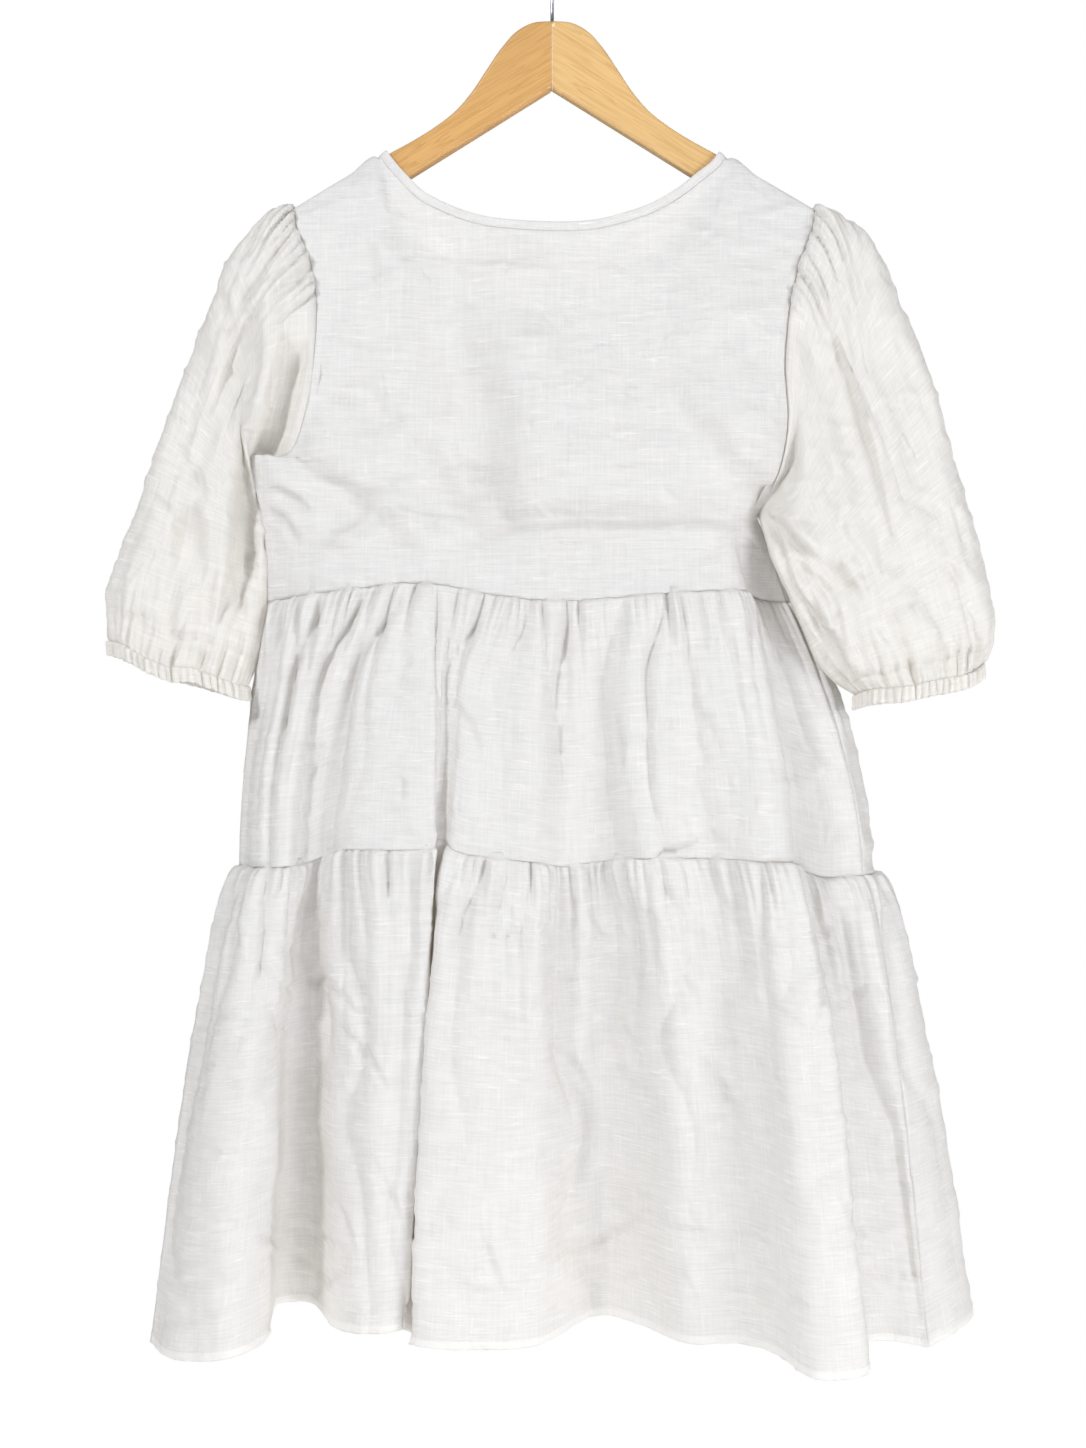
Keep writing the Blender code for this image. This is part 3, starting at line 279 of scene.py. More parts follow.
# Creases, each along a bowed line between two places as seen. Depth is a trough, or a ridge below nought, and
# all depths are multiplied by CREASE_DEPTH, so the bodice's main folds are up to about 21 mm deep.
CREASE_DEPTH = 2.6
CREASE_COLUMNS = ("across_0", "drop_0", "across_1", "drop_1", "bow", "width", "depth")
CREASES = {
    "yoke_back": (
        (-84, 216, -28, 476, -10, 25, 8), (-150, 230, -128, 420, 6, 26, 4),
        (44, 226, 78, 430, 8, 30, 2.2), (-60, 438, 160, 436, 5, 7, 1.6), (-46, 452, 166, 450, 3, 6, -1.8),
        (86, 342, 172, 428, -6, 12, 3.2), (110, 290, 182, 334, 5, 12, 1.4),
        (-206, 398, -100, 478, 8, 11, 3), (-186, 320, -116, 378, 6, 12, 2),
        (-4, 240, 24, 340, 6, 18, 1.4), (-175, 456, -100, 430, -6, 8, -1.8),
        (-59, 441, 147, 439, 2.3, 4.5, 1.5), (-169, 456, -132, 428, -3, 3, -1.2),
        (-132, 428, -62, 440, -3.8, 3, -1), (-102, 353, -15, 460, -7.6, 11, 2.6),
        (-74, 270, 15, 308, 7.6, 12, 1.4), (-56, 313, 6, 337, 6.1, 9, 1),
        (-175, 270, -100, 238, -4.6, 3, -0.9), (-100, 238, -21, 249, -3.8, 3, -0.8),
        (-178, 348, -122, 333, 3.8, 5, 1), (-188, 403, -97, 419, -9.1, 4, 1),
        (-220, 415, -182, 436, 2.3, 3.5, 1.6), (-220, 430, -192, 460, 3, 3.5, 1.3),
        (-207, 471, -154, 462, 3.8, 4, 0.8), (8, 328, 10, 409, 1.5, 2.5, 0.6),
        (36, 273, 67, 364, 6.1, 8, 1), (6, 372, 112, 351, -6.1, 6, 1.1), (29, 410, 139, 396, 4.6, 5, 1),
        (67, 232, 112, 273, 4.6, 5, 0.8), (-154, 197, -137, 273, 4.6, 6, 0.9),
        (105, 471, 143, 460, 2.3, 3, 0.9), (-24, 471, 67, 465, 3.8, 4, 0.9),
        (139, 380, 178, 389, -2.3, 3.5, 1), (-93, 482, -55, 452, 3.8, 5, 1.1),
    ),
    "yoke_front": (
        (70, 280, 30, 470, 10, 26, 5), (150, 240, 128, 420, -6, 26, 3), (-60, 290, -90, 420, -8, 26, 3.2),
        (-160, 424, 40, 428, -5, 10, 2.4), (-170, 340, -96, 424, 6, 12, 3),
        (100, 444, 186, 396, 6, 11, 2.4), (-140, 446, 40, 436, 4, 5, 1.4),
        (60, 452, 140, 420, -4, 4, 1.1), (20, 320, 104, 402, 7, 10, 2.2),
        (-120, 300, -30, 350, -6, 8, 1.6), (-150, 392, -84, 376, 4, 5, 1),
        (96, 300, 158, 262, -5, 4, 0.9), (-60, 402, 30, 390, 4, 5, 1), (110, 364, 160, 380, -3, 4, 1.1),
        (-30, 300, -26, 380, 3, 5, 0.7), (-190, 424, -150, 448, 3, 3.5, 1.3),
        (40, 470, 112, 462, 3, 3.5, 0.8), (-112, 474, -52, 456, 4, 4, 1),
    ),
    "tier1_back": (
        (-192, 592, -157, 577, 3, 3, 0.7), (-169, 646, -131, 632, 3, 3, 0.6),
        (-74, 577, -55, 627, 3.8, 3, 0.8), (67, 699, 125, 675, -3, 2.5, 1.2),
        (6, 608, 36, 623, 2.3, 3, 0.6), (105, 577, 128, 623, 3, 4, 0.8), (-40, 662, 6, 653, 3, 3, 0.7),
        (44, 577, 53, 638, 2.3, 3, 0.7), (-157, 676, -100, 665, 3, 3.5, 0.7),
        (188, 608, 215, 646, 3, 4, 0.9),
    ),
    "tier1_front": (
        (-150, 600, -112, 584, 3, 3, 0.7), (-120, 652, -62, 640, 3, 3, 0.7),
        (-30, 580, -8, 632, 4, 3, 0.8), (44, 690, 96, 668, -3, 3, 1.1), (70, 602, 110, 618, 3, 3, 0.7),
        (130, 574, 152, 628, 3, 4, 0.8), (-80, 680, -20, 668, 3, 3, 0.7), (170, 640, 214, 622, 3, 3, 0.8),
        (-200, 630, -176, 664, 3, 3, 0.8),
    ),
    "tier2_back": (
        (-56, 754, -9, 745, -6.8, 2.5, 1.3), (-49, 767, -15, 755, -3.8, 2.2, 0.9),
        (-18, 822, 11, 781, 3.8, 3, 1.1), (-5, 834, 33, 884, 4.6, 2.5, 1.2),
        (2, 851, 17, 903, 3, 2.5, 0.8), (-68, 805, -17, 819, -5.3, 3, 1),
        (-65, 834, -24, 845, 4.6, 3, 0.8), (-182, 784, -140, 828, 3.8, 2.5, 1.1),
        (-169, 820, -123, 877, 4.6, 2.5, 1.2), (-230, 771, -195, 799, -3, 2.5, 1.2),
        (-195, 799, -169, 776, -3, 2.5, 1), (-264, 813, -220, 830, 3.8, 2.5, 0.9),
        (-271, 866, -230, 878, 3.8, 3, 0.8), (-277, 912, -220, 919, -4.6, 2.5, 0.8),
        (-286, 972, -220, 985, 4.6, 3, 0.9), (-290, 1026, -237, 1015, 3.8, 3, 0.9),
        (-214, 974, -154, 1004, 6.8, 3, 1.1), (-210, 995, -169, 1023, 6.1, 2.5, 1),
        (-169, 954, -152, 995, 3, 2.5, 1.1), (-152, 995, -192, 1033, 4.6, 2.5, 0.8),
        (-56, 974, -35, 1030, -3, 3.5, 1.4), (-65, 982, -62, 1038, 2.3, 3, -0.9),
        (-100, 931, -62, 919, 3, 2.5, 0.7), (-93, 1026, -9, 1035, 4.6, 3, 0.8),
        (11, 995, 67, 966, -6.8, 3, 1.1), (67, 966, 144, 985, -6.1, 3, 1),
        (36, 1026, 105, 1012, 6.1, 3, 1), (6, 950, 44, 904, 3, 2.5, 0.9), (44, 813, 67, 858, 3, 3, 0.8),
        (88, 775, 112, 813, 3, 3, 0.7), (105, 843, 143, 904, 4.6, 3, 0.9),
        (158, 805, 198, 836, 3.8, 2.5, 0.9), (169, 881, 214, 896, 3.8, 2.5, 0.8),
        (112, 980, 188, 1004, 6.1, 3, 1), (125, 1026, 210, 1048, 5.3, 3, 1),
        (173, 942, 223, 954, 3.8, 2.5, 0.8), (208, 813, 240, 789, -3, 2.5, 1.2),
        (240, 789, 252, 819, 3, 2.5, 0.9), (220, 851, 264, 863, 3.8, 2.5, 0.8),
        (243, 942, 298, 960, 4.6, 2.5, 0.9), (249, 1010, 310, 1023, 3.8, 3, 0.9),
        (-252, 729, -236, 775, 3, 3, 0.8), (-142, 919, -112, 988, 3.8, 2.5, 0.8),
    ),
    "tier2_front": (
        (-250, 800, -206, 822, 4, 3, 1), (-262, 870, -214, 884, 4, 3, 0.9),
        (-276, 944, -226, 930, -4, 3, 0.9), (-240, 1000, -176, 986, 6, 3, 1),
        (-196, 770, -168, 812, 4, 2.5, 1), (-150, 846, -104, 880, 5, 3, 1.1),
        (-170, 940, -110, 962, 6, 3, 1), (-96, 760, -60, 792, -4, 2.5, 1.1),
        (-84, 900, -44, 936, 4, 3, 1), (-60, 990, 16, 1006, 6, 3, 1), (-20, 800, 14, 842, 4, 2.5, 1.1),
        (10, 900, 62, 876, -5, 3, 0.9), (50, 964, 122, 980, 6, 3, 1), (70, 780, 96, 830, 4, 3, 1),
        (120, 850, 168, 868, 4, 3, 0.9), (140, 940, 196, 920, -5, 3, 1), (170, 776, 206, 800, 4, 2.5, 1),
        (208, 880, 252, 894, 4, 3, 0.9), (200, 980, 268, 996, 5, 3, 1), (240, 820, 276, 846, 3, 2.5, 0.9),
    ),
    "sleeve_left": (
        (-226, 262, -262, 400, 8, 10, 2.6), (-262, 300, -300, 430, 6, 10, 2.2),
        (-282, 420, -268, 530, 5, 9, 2.4), (-238, 330, -262, 420, 5, 4, 1),
        (-290, 380, -262, 430, 5, 3, 1), (-310, 420, -276, 460, 5, 3, 1.1),
        (-322, 470, -290, 452, -4, 3, 1), (-300, 500, -262, 486, 4, 3, 0.9),
        (-262, 250, -240, 320, 4, 4, 0.9), (-270, 520, -250, 470, 3, 3, 0.8),
        (-244, 470, -236, 530, 3, 3, 1), (-330, 512, -300, 520, 3, 2.5, 0.9),
        (-296, 450, -306, 520, 4, 3, 0.9),
    ),
    "sleeve_right": (
        (176, 330, 186, 420, -3, 7, 1.6), (232, 262, 282, 398, -8, 11, 1.6),
        (250, 430, 300, 520, -7, 11, 1.6), (160, 432, 214, 545, -3, 2.6, 2),
        (158, 434, 196, 474, 3, 4, 3), (158, 438, 214, 496, -4, 4.5, 2.6),
        (168, 452, 236, 500, 4, 5, 2.2), (186, 496, 224, 558, 3, 4, 2.4),
        (176, 470, 200, 530, 2, 3, -1.6), (222, 320, 262, 400, 6, 4, 1.2), (252, 300, 292, 380, 5, 4, 1),
        (214, 440, 250, 520, 6, 4, 1.2), (196, 470, 222, 540, 4, 3, 1.2), (260, 420, 306, 448, 5, 3, 1),
        (288, 470, 322, 500, 4, 3, 1), (250, 520, 296, 500, 5, 3, 1), (206, 500, 240, 490, 3, 2.5, 1.1),
        (232, 540, 276, 536, 3, 2.5, 0.9), (300, 420, 316, 480, 4, 3, 0.8),
        (184, 462, 206, 476, 3, 2.5, 1), (240, 360, 286, 352, 4, 3, 0.8),
    ),
}

# Fine crumple: how many small creases are scattered, their longest length, and how far they lean from level
CRUMPLE_SHORTEST = 9
CRUMPLE_COLUMNS = ("count", "longest", "lean")
CRUMPLE = {
    "yoke_back": (230, 46, 0.95), "yoke_front": (150, 46, 0.95),
    "tier1_back": (130, 38, 1.2), "tier1_front": (110, 38, 1.2),
    "tier2_back": (460, 52, 0.5), "tier2_front": (320, 52, 0.5),
    "sleeve_left": (120, 40, 1.5), "sleeve_right": (120, 40, 1.5),
}

# Panels: the flat cut in metres, and the longest spacing of the shell's points across and down
PANEL_SIZES = ("cut_width", "cut_length", "across_step", "down_step")
PANELS = {
    "yoke_back": (0.43, 0.33, 1.9, 2.4), "yoke_front": (0.43, 0.33, 3.6, 3.8),
    "tier1_back": (0.62, 0.215, 1.15, 3.4), "tier1_front": (0.62, 0.215, 2.0, 4.2),
    "tier2_back": (0.95, 0.385, 1.62, 3.8), "tier2_front": (0.95, 0.385, 2.9, 4.8),
}
YOKE_SEED = 3
SLEEVE_SEEDS = {"left": 61, "right": 71}
CUFF_SEEDS = {"left": 81, "right": 91}
SLEEVE_HALF_COLUMNS = 140
# A sleeve's length, its rows' finest and widest spacing, and how far from each end the spacing grows
SLEEVE_SPREAD = (365, 1.3, 3.4, 26, 14)
HEM_DEPTH = 6.8
# Stitches: the radius of the thread, the length of a stitch and the spacing
HEM_STITCH = (0.24, 2.3, 3.2)
NECK_STITCH = (0.2, 2.0, 2.7)
STITCH_RISE = 0.1
STITCH_SHOULDER = 0.22
# A seam allowance: how far each of its rows reaches beyond the seam, and how far it lies under the surface
TUCK_ROWS = ((5.0, 2.7), (2.0, 2.4), (0.4, 1.3))
CUFF_PLEATS = 46
CUFF_PLEAT = 3.0
CUFF_PLEAT_INSIDE = 0.5
CUFF_COLUMNS = CUFF_PLEATS * 12
# The rings of a cuff, down its outside and up its inside: how far down each lies, and how far it bulges
CUFF_SECTION = (
    (0.0, 0.5), (0.9, 0.9), (2.6, 1.0), (4.8, 0.8), (7.0, 1.0), (8.8, 0.95), (9.7, 0.5),
    (9.3, -0.2), (6.0, -0.35), (3.0, -0.35), (0.4, -0.2),
)
CUFF_ENDS = (0.0, 9.7)
# The rings of the binding: how far each lies beyond the seam, and how far it stands out from it
BINDING_SECTION = (
    (0.0, -0.1), (0.5, 0.35), (1.3, 0.16), (2.2, 0.42), (3.8, 0.62), (5.4, 0.6), (6.4, 0.35), (6.85, -0.25),
    (6.4, -0.95), (4.6, -1.2), (2.4, -1.4), (-2.5, -1.7), (-2.5, -1.1), (-0.2, -0.9),
)
BINDING_PARTS = 9

# Light, in metres and watts: how bright the surroundings and the floor are, and each lamp's row
SURROUND = 0.32
SURROUND_COLOUR = (0.86, 0.915, 1.0, 1)
FLOOR_WIDTH = 3.8
FLOOR_DROP = 1.75
FLOOR_WHITE = (0.94, 0.94, 0.94, 1)
FLOOR_GLOW = 0.46
COOL = (0.918, 0.95, 1.0)
LESS_COOL = (0.925, 0.952, 1.0)
LIGHTS_AIM = (0, 0, -0.55)
LIGHT_COLUMNS = ("place", "width", "power", "colour")
LIGHTS = {
    "key": ((-2.0, -2.0, 1.3), 0.42, 70, COOL),
    "right": ((2.4, -1.8, -0.4), 1.3, 53, LESS_COOL),
    "front": ((0.2, -3.3, -1.0), 1.6, 25, COOL),
    "far": ((0.9, 2.9, 0.8), 1.6, 26, LESS_COOL),
}

# Colours of the cloth and of the light that comes through it, and how bright its dim and bright threads are
CLOTH_WHITE = (0.893, 0.878, 0.858)
SLEEVE_WHITE = (0.922, 0.898, 0.852)
LIGHT_THROUGH = (0.94, 0.866, 0.745)
THROUGH_SHARE = 0.33
DIM_THREAD = 0.84
BRIGHT_THREAD = 1.085
# The doubled hem: how much of the bright thread's colour it takes, and how soft its upper edge is, in metres
HEM_PALER = 0.6
HEM_BLUR = 0.0008
# Each arm's pale and dark wood, and how much dimmer the pale wood is in broad patches
WOOD_COLOURS = {
    "left": ((0.622, 0.347, 0.115), (0.434, 0.204, 0.053)),
    "right": ((0.698, 0.44, 0.177), (0.509, 0.269, 0.089)),
}
WOOD_PATCH = 0.82
STEEL_COLOURS = ((0.46, 0.46, 0.47, 1), (0.62, 0.62, 0.63, 1))


def seen(across, drop, depth):
    """The point at this depth that is seen at this place in the hanger's plane."""
    scale = 1 + depth / EYE_DISTANCE
    x = EYE_ACROSS + (across - EYE_ACROSS) * scale
    z = -(EYE_DROP + (drop - EYE_DROP) * scale)
    return np.array((x, depth, z))


def places_seen(points):
    """Where these points are seen in the hanger's plane: across and drop."""
    scale = 1 + points[..., 1] / EYE_DISTANCE
    across = EYE_ACROSS + (points[..., 0] - EYE_ACROSS) / scale
    drop = EYE_DROP + (-points[..., 2] - EYE_DROP) / scale
    return across, drop


def unit(vectors):
    return vectors / np.maximum(np.linalg.norm(vectors, axis=-1, keepdims=True), 1e-9)


def smooth_step(values, start, end):
    """From nought to one between two values, with a soft start and end."""
    share = np.clip((values - start) / (end - start), 0, 1)
    return share * share * (3 - 2 * share)


def refine(grid, counts):
    """The grid with each stretch between two columns cut into counts parts, on a smooth curve."""
    steps = np.linalg.norm(np.diff(grid, axis=1), axis=2)
    knots = np.concatenate((np.zeros((len(grid), 1)), np.cumsum(steps, axis=1)), axis=1)
    slopes = np.stack([np.gradient(row, at, axis=0) for row, at in zip(grid, knots)])
    parts = []
    for i, count in enumerate(counts):
        t = (np.arange(count) / count)[None, :, None]
        span = steps[:, i, None, None]
        near = (2 * t**3 - 3 * t**2 + 1) * grid[:, i, None] + (t**3 - 2 * t**2 + t) * span * slopes[:, i, None]
        far = (3 * t**2 - 2 * t**3) * grid[:, i + 1, None] + (t**3 - t**2) * span * slopes[:, i + 1, None]
        parts.append(near + far)
    return np.concatenate((*parts, grid[:, -1:]), axis=1)


def refine_down(grid, counts):
    return refine(grid.swapaxes(0, 1), counts).swapaxes(0, 1)


def curve_at(points, shares):
    """Points at these shares of the length of a smooth curve."""
    points = np.asarray(points, float)
    steps = np.linalg.norm(np.diff(points, axis=0), axis=1)
    knots = np.concatenate(([0.0], np.cumsum(steps)))
    slopes = np.gradient(points, knots, axis=0)
    place = np.clip(np.asarray(shares, float), 0, 1) * knots[-1]
    i = np.clip(np.searchsorted(knots, place) - 1, 0, len(steps) - 1)
    span = steps[i][..., None]
    t = (place - knots[i])[..., None] / span
    near = (2 * t**3 - 3 * t**2 + 1) * points[i] + (t**3 - 2 * t**2 + t) * span * slopes[i]
    return near + (3 * t**2 - 2 * t**3) * points[i + 1] + (t**3 - t**2) * span * slopes[i + 1]


def run_of(line):
    """How far along a line of points each of them lies."""
    return np.concatenate(([0.0], np.cumsum(np.linalg.norm(np.diff(line, axis=0), axis=1))))


def points_at(places, knots, points):
    """The points at these places, on straight stretches between points that lie at knots."""
    return np.stack([np.interp(places, knots, points[:, axis]) for axis in range(3)], axis=1)


def normals_of(grid, ring=False):
    """Unit normals of a grid of points, towards the outside where rows run down and columns run right on the
    near side."""
    if ring:
        around = np.roll(grid, -1, axis=1) - np.roll(grid, 1, axis=1)
    else:
        around = np.gradient(grid, axis=1)
    return unit(np.cross(np.gradient(grid, axis=0), around))


def lengths(grid, axis):
    """Mean distances along one axis of a grid, added up from its start."""
    steps = np.linalg.norm(np.diff(grid, axis=axis), axis=2).mean(axis=1 - axis)
    return np.concatenate(([0.0], np.cumsum(steps)))


def wander(at, seed):
    """A smooth random line from -1 to 1 that turns about once in each unit."""
    values = np.random.default_rng(seed).uniform(-1, 1, 4096)
    i = np.floor(at).astype(int)
    t = at - i
    t = t * t * (3 - 2 * t)
    return values[i % 4096] * (1 - t) + values[(i + 1) % 4096] * t


def wander_over(a, b, seed):
    """The same over a surface."""
    values = np.random.default_rng(seed).uniform(-1, 1, (256, 256))
    i, j = np.floor(a).astype(int), np.floor(b).astype(int)
    s, t = a - i, b - j
    s, t = s * s * (3 - 2 * s), t * t * (3 - 2 * t)
    top = values[i % 256, j % 256] * (1 - s) + values[(i + 1) % 256, j % 256] * s
    low = values[i % 256, (j + 1) % 256] * (1 - s) + values[(i + 1) % 256, (j + 1) % 256] * s
    return top * (1 - t) + low * t


def gather_relief(along, below, waves, seed):
    """How far gathers stand out at each place, given how far it is along the seam and below it."""
    total = np.zeros(np.broadcast(along, below).shape)
    for number, row in enumerate(waves):
        wave = dict(zip(WAVE_COLUMNS, row))
        own = seed * 10 + number
        drift = 0.5 * wander_over(along / wave["spacing"] / 2.5, below / 70, own)
        phase = along / wave["spacing"] + drift
        size = 0.75 + 0.55 * wander(phase + 0.5, own + 500)
        shape = 1.7 * np.abs(np.cos(math.pi * phase)) ** 0.8 - 1.0
        rise = 0.35 + 0.65 * (1 - np.exp(-below / wave["starts"]))
        reach = wave["reach"] * (1 + 0.35 * wander(phase + 0.5, own + 900))
        total += wave["height"] * size * shape * rise * np.exp(-((below / reach) ** 1.4))
    return total


def crease_relief(across, drop, rows):
    """How far creases stand out at each place as seen."""
    total = np.zeros(across.shape)
    for row in rows:
        crease = dict(zip(CREASE_COLUMNS, row))
        start = np.array((crease["across_0"], crease["drop_0"]))
        step = np.array((crease["across_1"], crease["drop_1"])) - start
        length = np.linalg.norm(step)
        reach = 4 * crease["width"] + abs(crease["bow"])
        low, high = np.minimum(start, start + step) - reach, np.maximum(start, start + step) + reach
        near = (across > low[0]) & (across < high[0]) & (drop > low[1]) & (drop < high[1])
        a, d = across[near] - start[0], drop[near] - start[1]
        share = (a * step[0] + d * step[1]) / length**2
        off = (a * step[1] - d * step[0]) / length - crease["bow"] * 4 * share * (1 - share)
        taper = np.clip(1 - (2 * share - 1) ** 2, 0, 1) ** 1.1
        width = crease["width"] * (0.75 + 0.5 * taper)
        trough = np.exp(-((off / width) ** 2))
        shoulder = np.exp(-(((off - 1.9 * width) / (1.4 * width)) ** 2))
        total[near] -= CREASE_DEPTH * crease["depth"] * taper * (trough - 0.45 * shoulder)
    return total


def crumple_rows(name, across, drop):
    """Small creases scattered over a piece, as rows for crease_relief."""
    crumple = dict(zip(CRUMPLE_COLUMNS, CRUMPLE[name]))
    chance = np.random.default_rng(sorted(CRUMPLE).index(name) + 11)
    rows = []
    for _ in range(crumple["count"]):
        a = chance.uniform(across.min(), across.max())
        d = chance.uniform(drop.min(), drop.max())
        length = CRUMPLE_SHORTEST + (crumple["longest"] - CRUMPLE_SHORTEST) * chance.beta(1.2, 3.0)
        lean = chance.normal(0, crumple["lean"])
        step = np.array((math.cos(lean), math.sin(lean))) * length
        width = chance.uniform(1.1, 2.6)
        depth = chance.uniform(0.16, 0.62) * (1 if chance.random() < 0.7 else -1)
        rows.append((a, d, a + step[0], d + step[1], chance.uniform(-0.12, 0.12) * length, width, depth))
    return rows


def ridged(a, b, seed):
    """Sharp soft-sided lines that run about at random, from -1 to 1."""
    return 1 - 2 * np.clip(np.abs(2.2 * wander_over(a, b, seed)), 0, 1) ** 0.7


def relief_of_creases(name, grid):
    """How far all creases, crumples and ridges of a piece stand out."""
    across, drop = places_seen(grid)
    relief = crease_relief(across, drop, CREASES[name] + tuple(crumple_rows(name, across, drop)))
    seed = 300 + sorted(CREASES).index(name)
    a = across + RIDGE_DRIFT * wander_over(across / 60, drop / 60, seed + 7)
    d = drop + RIDGE_DRIFT * wander_over(across / 55, drop / 50, seed + 8)
    for number, (run, fall, height) in enumerate(RIDGES):
        relief += height * ridged(a / run, d / fall, seed + 20 * number)
    return relief


def spread(length, fine, coarse, top=14.0, bottom=10.0):
    """Shares of a length, a fine step apart near both ends and a coarse one between. Top and bottom are how
    far from each end the step reaches its full size."""
    places = [0.0]
    while places[-1] < length - fine / 2:
        nearest = min(places[-1] / top, (length - places[-1]) / bottom, 1.0)
        places.append(places[-1] + fine + (coarse - fine) * max(nearest, 0.0))
    places = np.array(places)
    return places / places[-1]


def fold_rows(which, level):
    """The points of one level of the folds, from left to right, for the back or the front."""
    first = FOLD_COLUMNS.index(level + "_across")
    back = [seen(*row[first : first + 3]) for row in BACK_FOLDS]
    if which == "back":
        return np.array(back)
    front = [seen(*row[first : first + 3]) for row in FRONT_FOLDS]
    return np.array([back[0], *front[::-1], back[-1]])


def level_points(which, level):
    """PANEL_COLUMNS + 1 points along one level, from left to right."""
    rows = fold_rows(which, level)
    if which == "back":
        return rows
    knots = np.linspace(0, len(rows) - 1, PANEL_COLUMNS + 1)
    reached = run_of(rows)
    return curve_at(rows, np.interp(knots, range(len(rows)), reached / reached[-1]))


def patch_between(top, bottom, left, right, down):
    """A smooth patch between four edges of points. Down holds each row's share of the height. The forms of
    the left and right edges fade towards the middle."""
    u = np.linspace(0, 1, len(top))[None, :, None]
    v = np.asarray(down, float)[:, None, None]
    plain = (1 - v) * top[None] + v * bottom[None]
    left = np.asarray(left)[:, None] - plain[:, :1]
    right = np.asarray(right)[:, None] - plain[:, -1:]
    return plain + (1 - u) ** SIDE_FADE * left + u**SIDE_FADE * right


def yoke(which):
    """The coarse grid of a bodice panel's outer face, from left to right, with the rows of its solid."""
    sign = -1 if which == "back" else 1
    top = []
    for side in ("left", "neck", "right"):
        if side == "neck":
            top.extend((x, drop, depth, True) for x, drop, depth in NECKLINES[which])
            continue
        (x0, z0), (x1, z1) = NECK_POINTS[side], SHOULDER_POINTS[side]
        shares = (1, 0.7, 0.35, 0) if side == "left" else (0, 0.35, 0.7, 1)
        top.extend((x0 + (x1 - x0) * t, z0 + (z1 - z0) * t, sign * 0.2, False) for t in shares)
    rows = []
    for number, (extra, width) in enumerate(OVER_ARM):
        row = []
        for x, drop, depth, on_neck in top:
            if on_neck:
                reach = max(abs(depth), abs(width) if number else 0)
                row.append(seen(x, drop + (0, 2.2, 6.5)[number], sign * (reach + 0.1 * number)))
            else:
                row.append(seen(x, drop, 0) + np.array((0, sign * width, -extra)))
        rows.append(np.array(row))
    bottom = level_points(which, "arm")
    count = 6
    inner = np.arange(1, count) / count
    left = [rows[2][0], *curve_at([seen(*p) for p in ARMHOLES[which, "left"]], inner), bottom[0]]
    right = [rows[2][-1], *curve_at([seen(*p) for p in ARMHOLES[which, "right"]], inner), bottom[-1]]
    fall = np.linalg.norm(np.array(left) - left[0], axis=1)
    down = 0.5 * fall / fall[-1] + 0.5 * np.linspace(0, 1, count + 1)
    patch = patch_between(rows[2], bottom, left, right, down)
    below = level_points(which, "yoke")
    sides = []
    for share in SIDE_ROWS[1:]:
        part_way = np.full_like(bottom, share)
        part_way[:, 0] = 1 - (1 - share) ** np.linspace(SIDE_SEAM_CURVE, 1, len(bottom))
        sides.append(bottom + (below - bottom) * part_way)
    return np.concatenate((np.array(rows[:2]), patch, np.array(sides)))


def column_counts(grid, step):
    """How many parts each stretch between two columns takes."""
    return [max(2, round(size / step)) for size in np.linalg.norm(np.diff(grid, axis=1), axis=2).mean(axis=0)]


def row_counts(grid, step):
    return column_counts(grid.swapaxes(0, 1), step)


def mesh_object(name, points, faces, material, smooth=None):
    """An object from points in millimetres and faces, all of them smooth where smooth says nothing else."""
    mesh = bpy.data.meshes.new(name)
    mesh.from_pydata((points * MM).tolist(), [], faces)
    mesh.polygons.foreach_set("use_smooth", smooth or [True] * len(faces))
    mesh.materials.append(material)
    made = bpy.data.objects.new(name, mesh)
    bpy.context.scene.collection.objects.link(made)
    return made


def cloth_object(name, points, quads, corners, material):
    """An object with the cloth's own coordinates, given in millimetres at each corner of its faces."""
    made = mesh_object(name, points, quads.tolist(), material)
    layer = made.data.uv_layers.new(name="cloth")
    layer.data.foreach_set("uv", (corners.reshape(-1, 2) * MM).ravel())
    return made


def grid_faces(rows, columns, ring):
    """The faces of a grid, and the places in the grid of each face's corners."""
    j, i = np.meshgrid(np.arange(rows - 1), np.arange(columns if ring else columns - 1), indexing="ij")
    i, j = i.ravel(), j.ravel()
    at = np.stack((j, j + 1, j + 1, j), axis=1), np.stack((i, i, i + 1, i + 1), axis=1)
    return at[0] * columns + at[1] % columns, at


def shell(name, outer, u, v, material, thick=CLOTH, ring=False):
    """A thin closed shell under a grid of points. U and v are the cloth's coordinates of columns and rows."""
    rows, columns = outer.shape[:2]
    inner = outer - thick * normals_of(outer, ring)
    points = np.concatenate((outer.reshape(-1, 3), inner.reshape(-1, 3)))
    back = rows * columns
    quads, (row_at, column_at) = grid_faces(rows, columns, ring)
    corners = np.stack((u[column_at], v[row_at]), axis=2)
    all_quads = [quads, quads[:, ::-1] + back]
    all_corners = [corners, corners[:, ::-1]]

    def add_rim(a, b, u_at, v_at, turned):
        rim = np.stack((a, b, b + back, a + back), axis=1)
        rim_corners = np.stack((u_at, v_at), axis=2)
        all_quads.append(rim[:, ::-1] if turned else rim)
        all_corners.append(rim_corners[:, ::-1] if turned else rim_corners)

    first = np.arange(columns if ring else columns - 1)
    for edge, turned in ((0, False), (rows - 1, True)):
        u_at = u[[first, first + 1, first + 1, first]].T
        start = edge * columns
        add_rim(start + first, start + (first + 1) % columns, u_at, np.full(u_at.shape, v[edge]), turned)
    if not ring:
        down = np.arange(rows - 1)
        for edge, turned in ((0, True), (columns - 1, False)):
            v_at = v[[down, down + 1, down + 1, down]].T
            a, b = down * columns + edge, (down + 1) * columns + edge
            add_rim(a, b, np.full(v_at.shape, u[edge]), v_at, turned)
    return cloth_object(name, points, np.concatenate(all_quads), np.concatenate(all_corners), material)


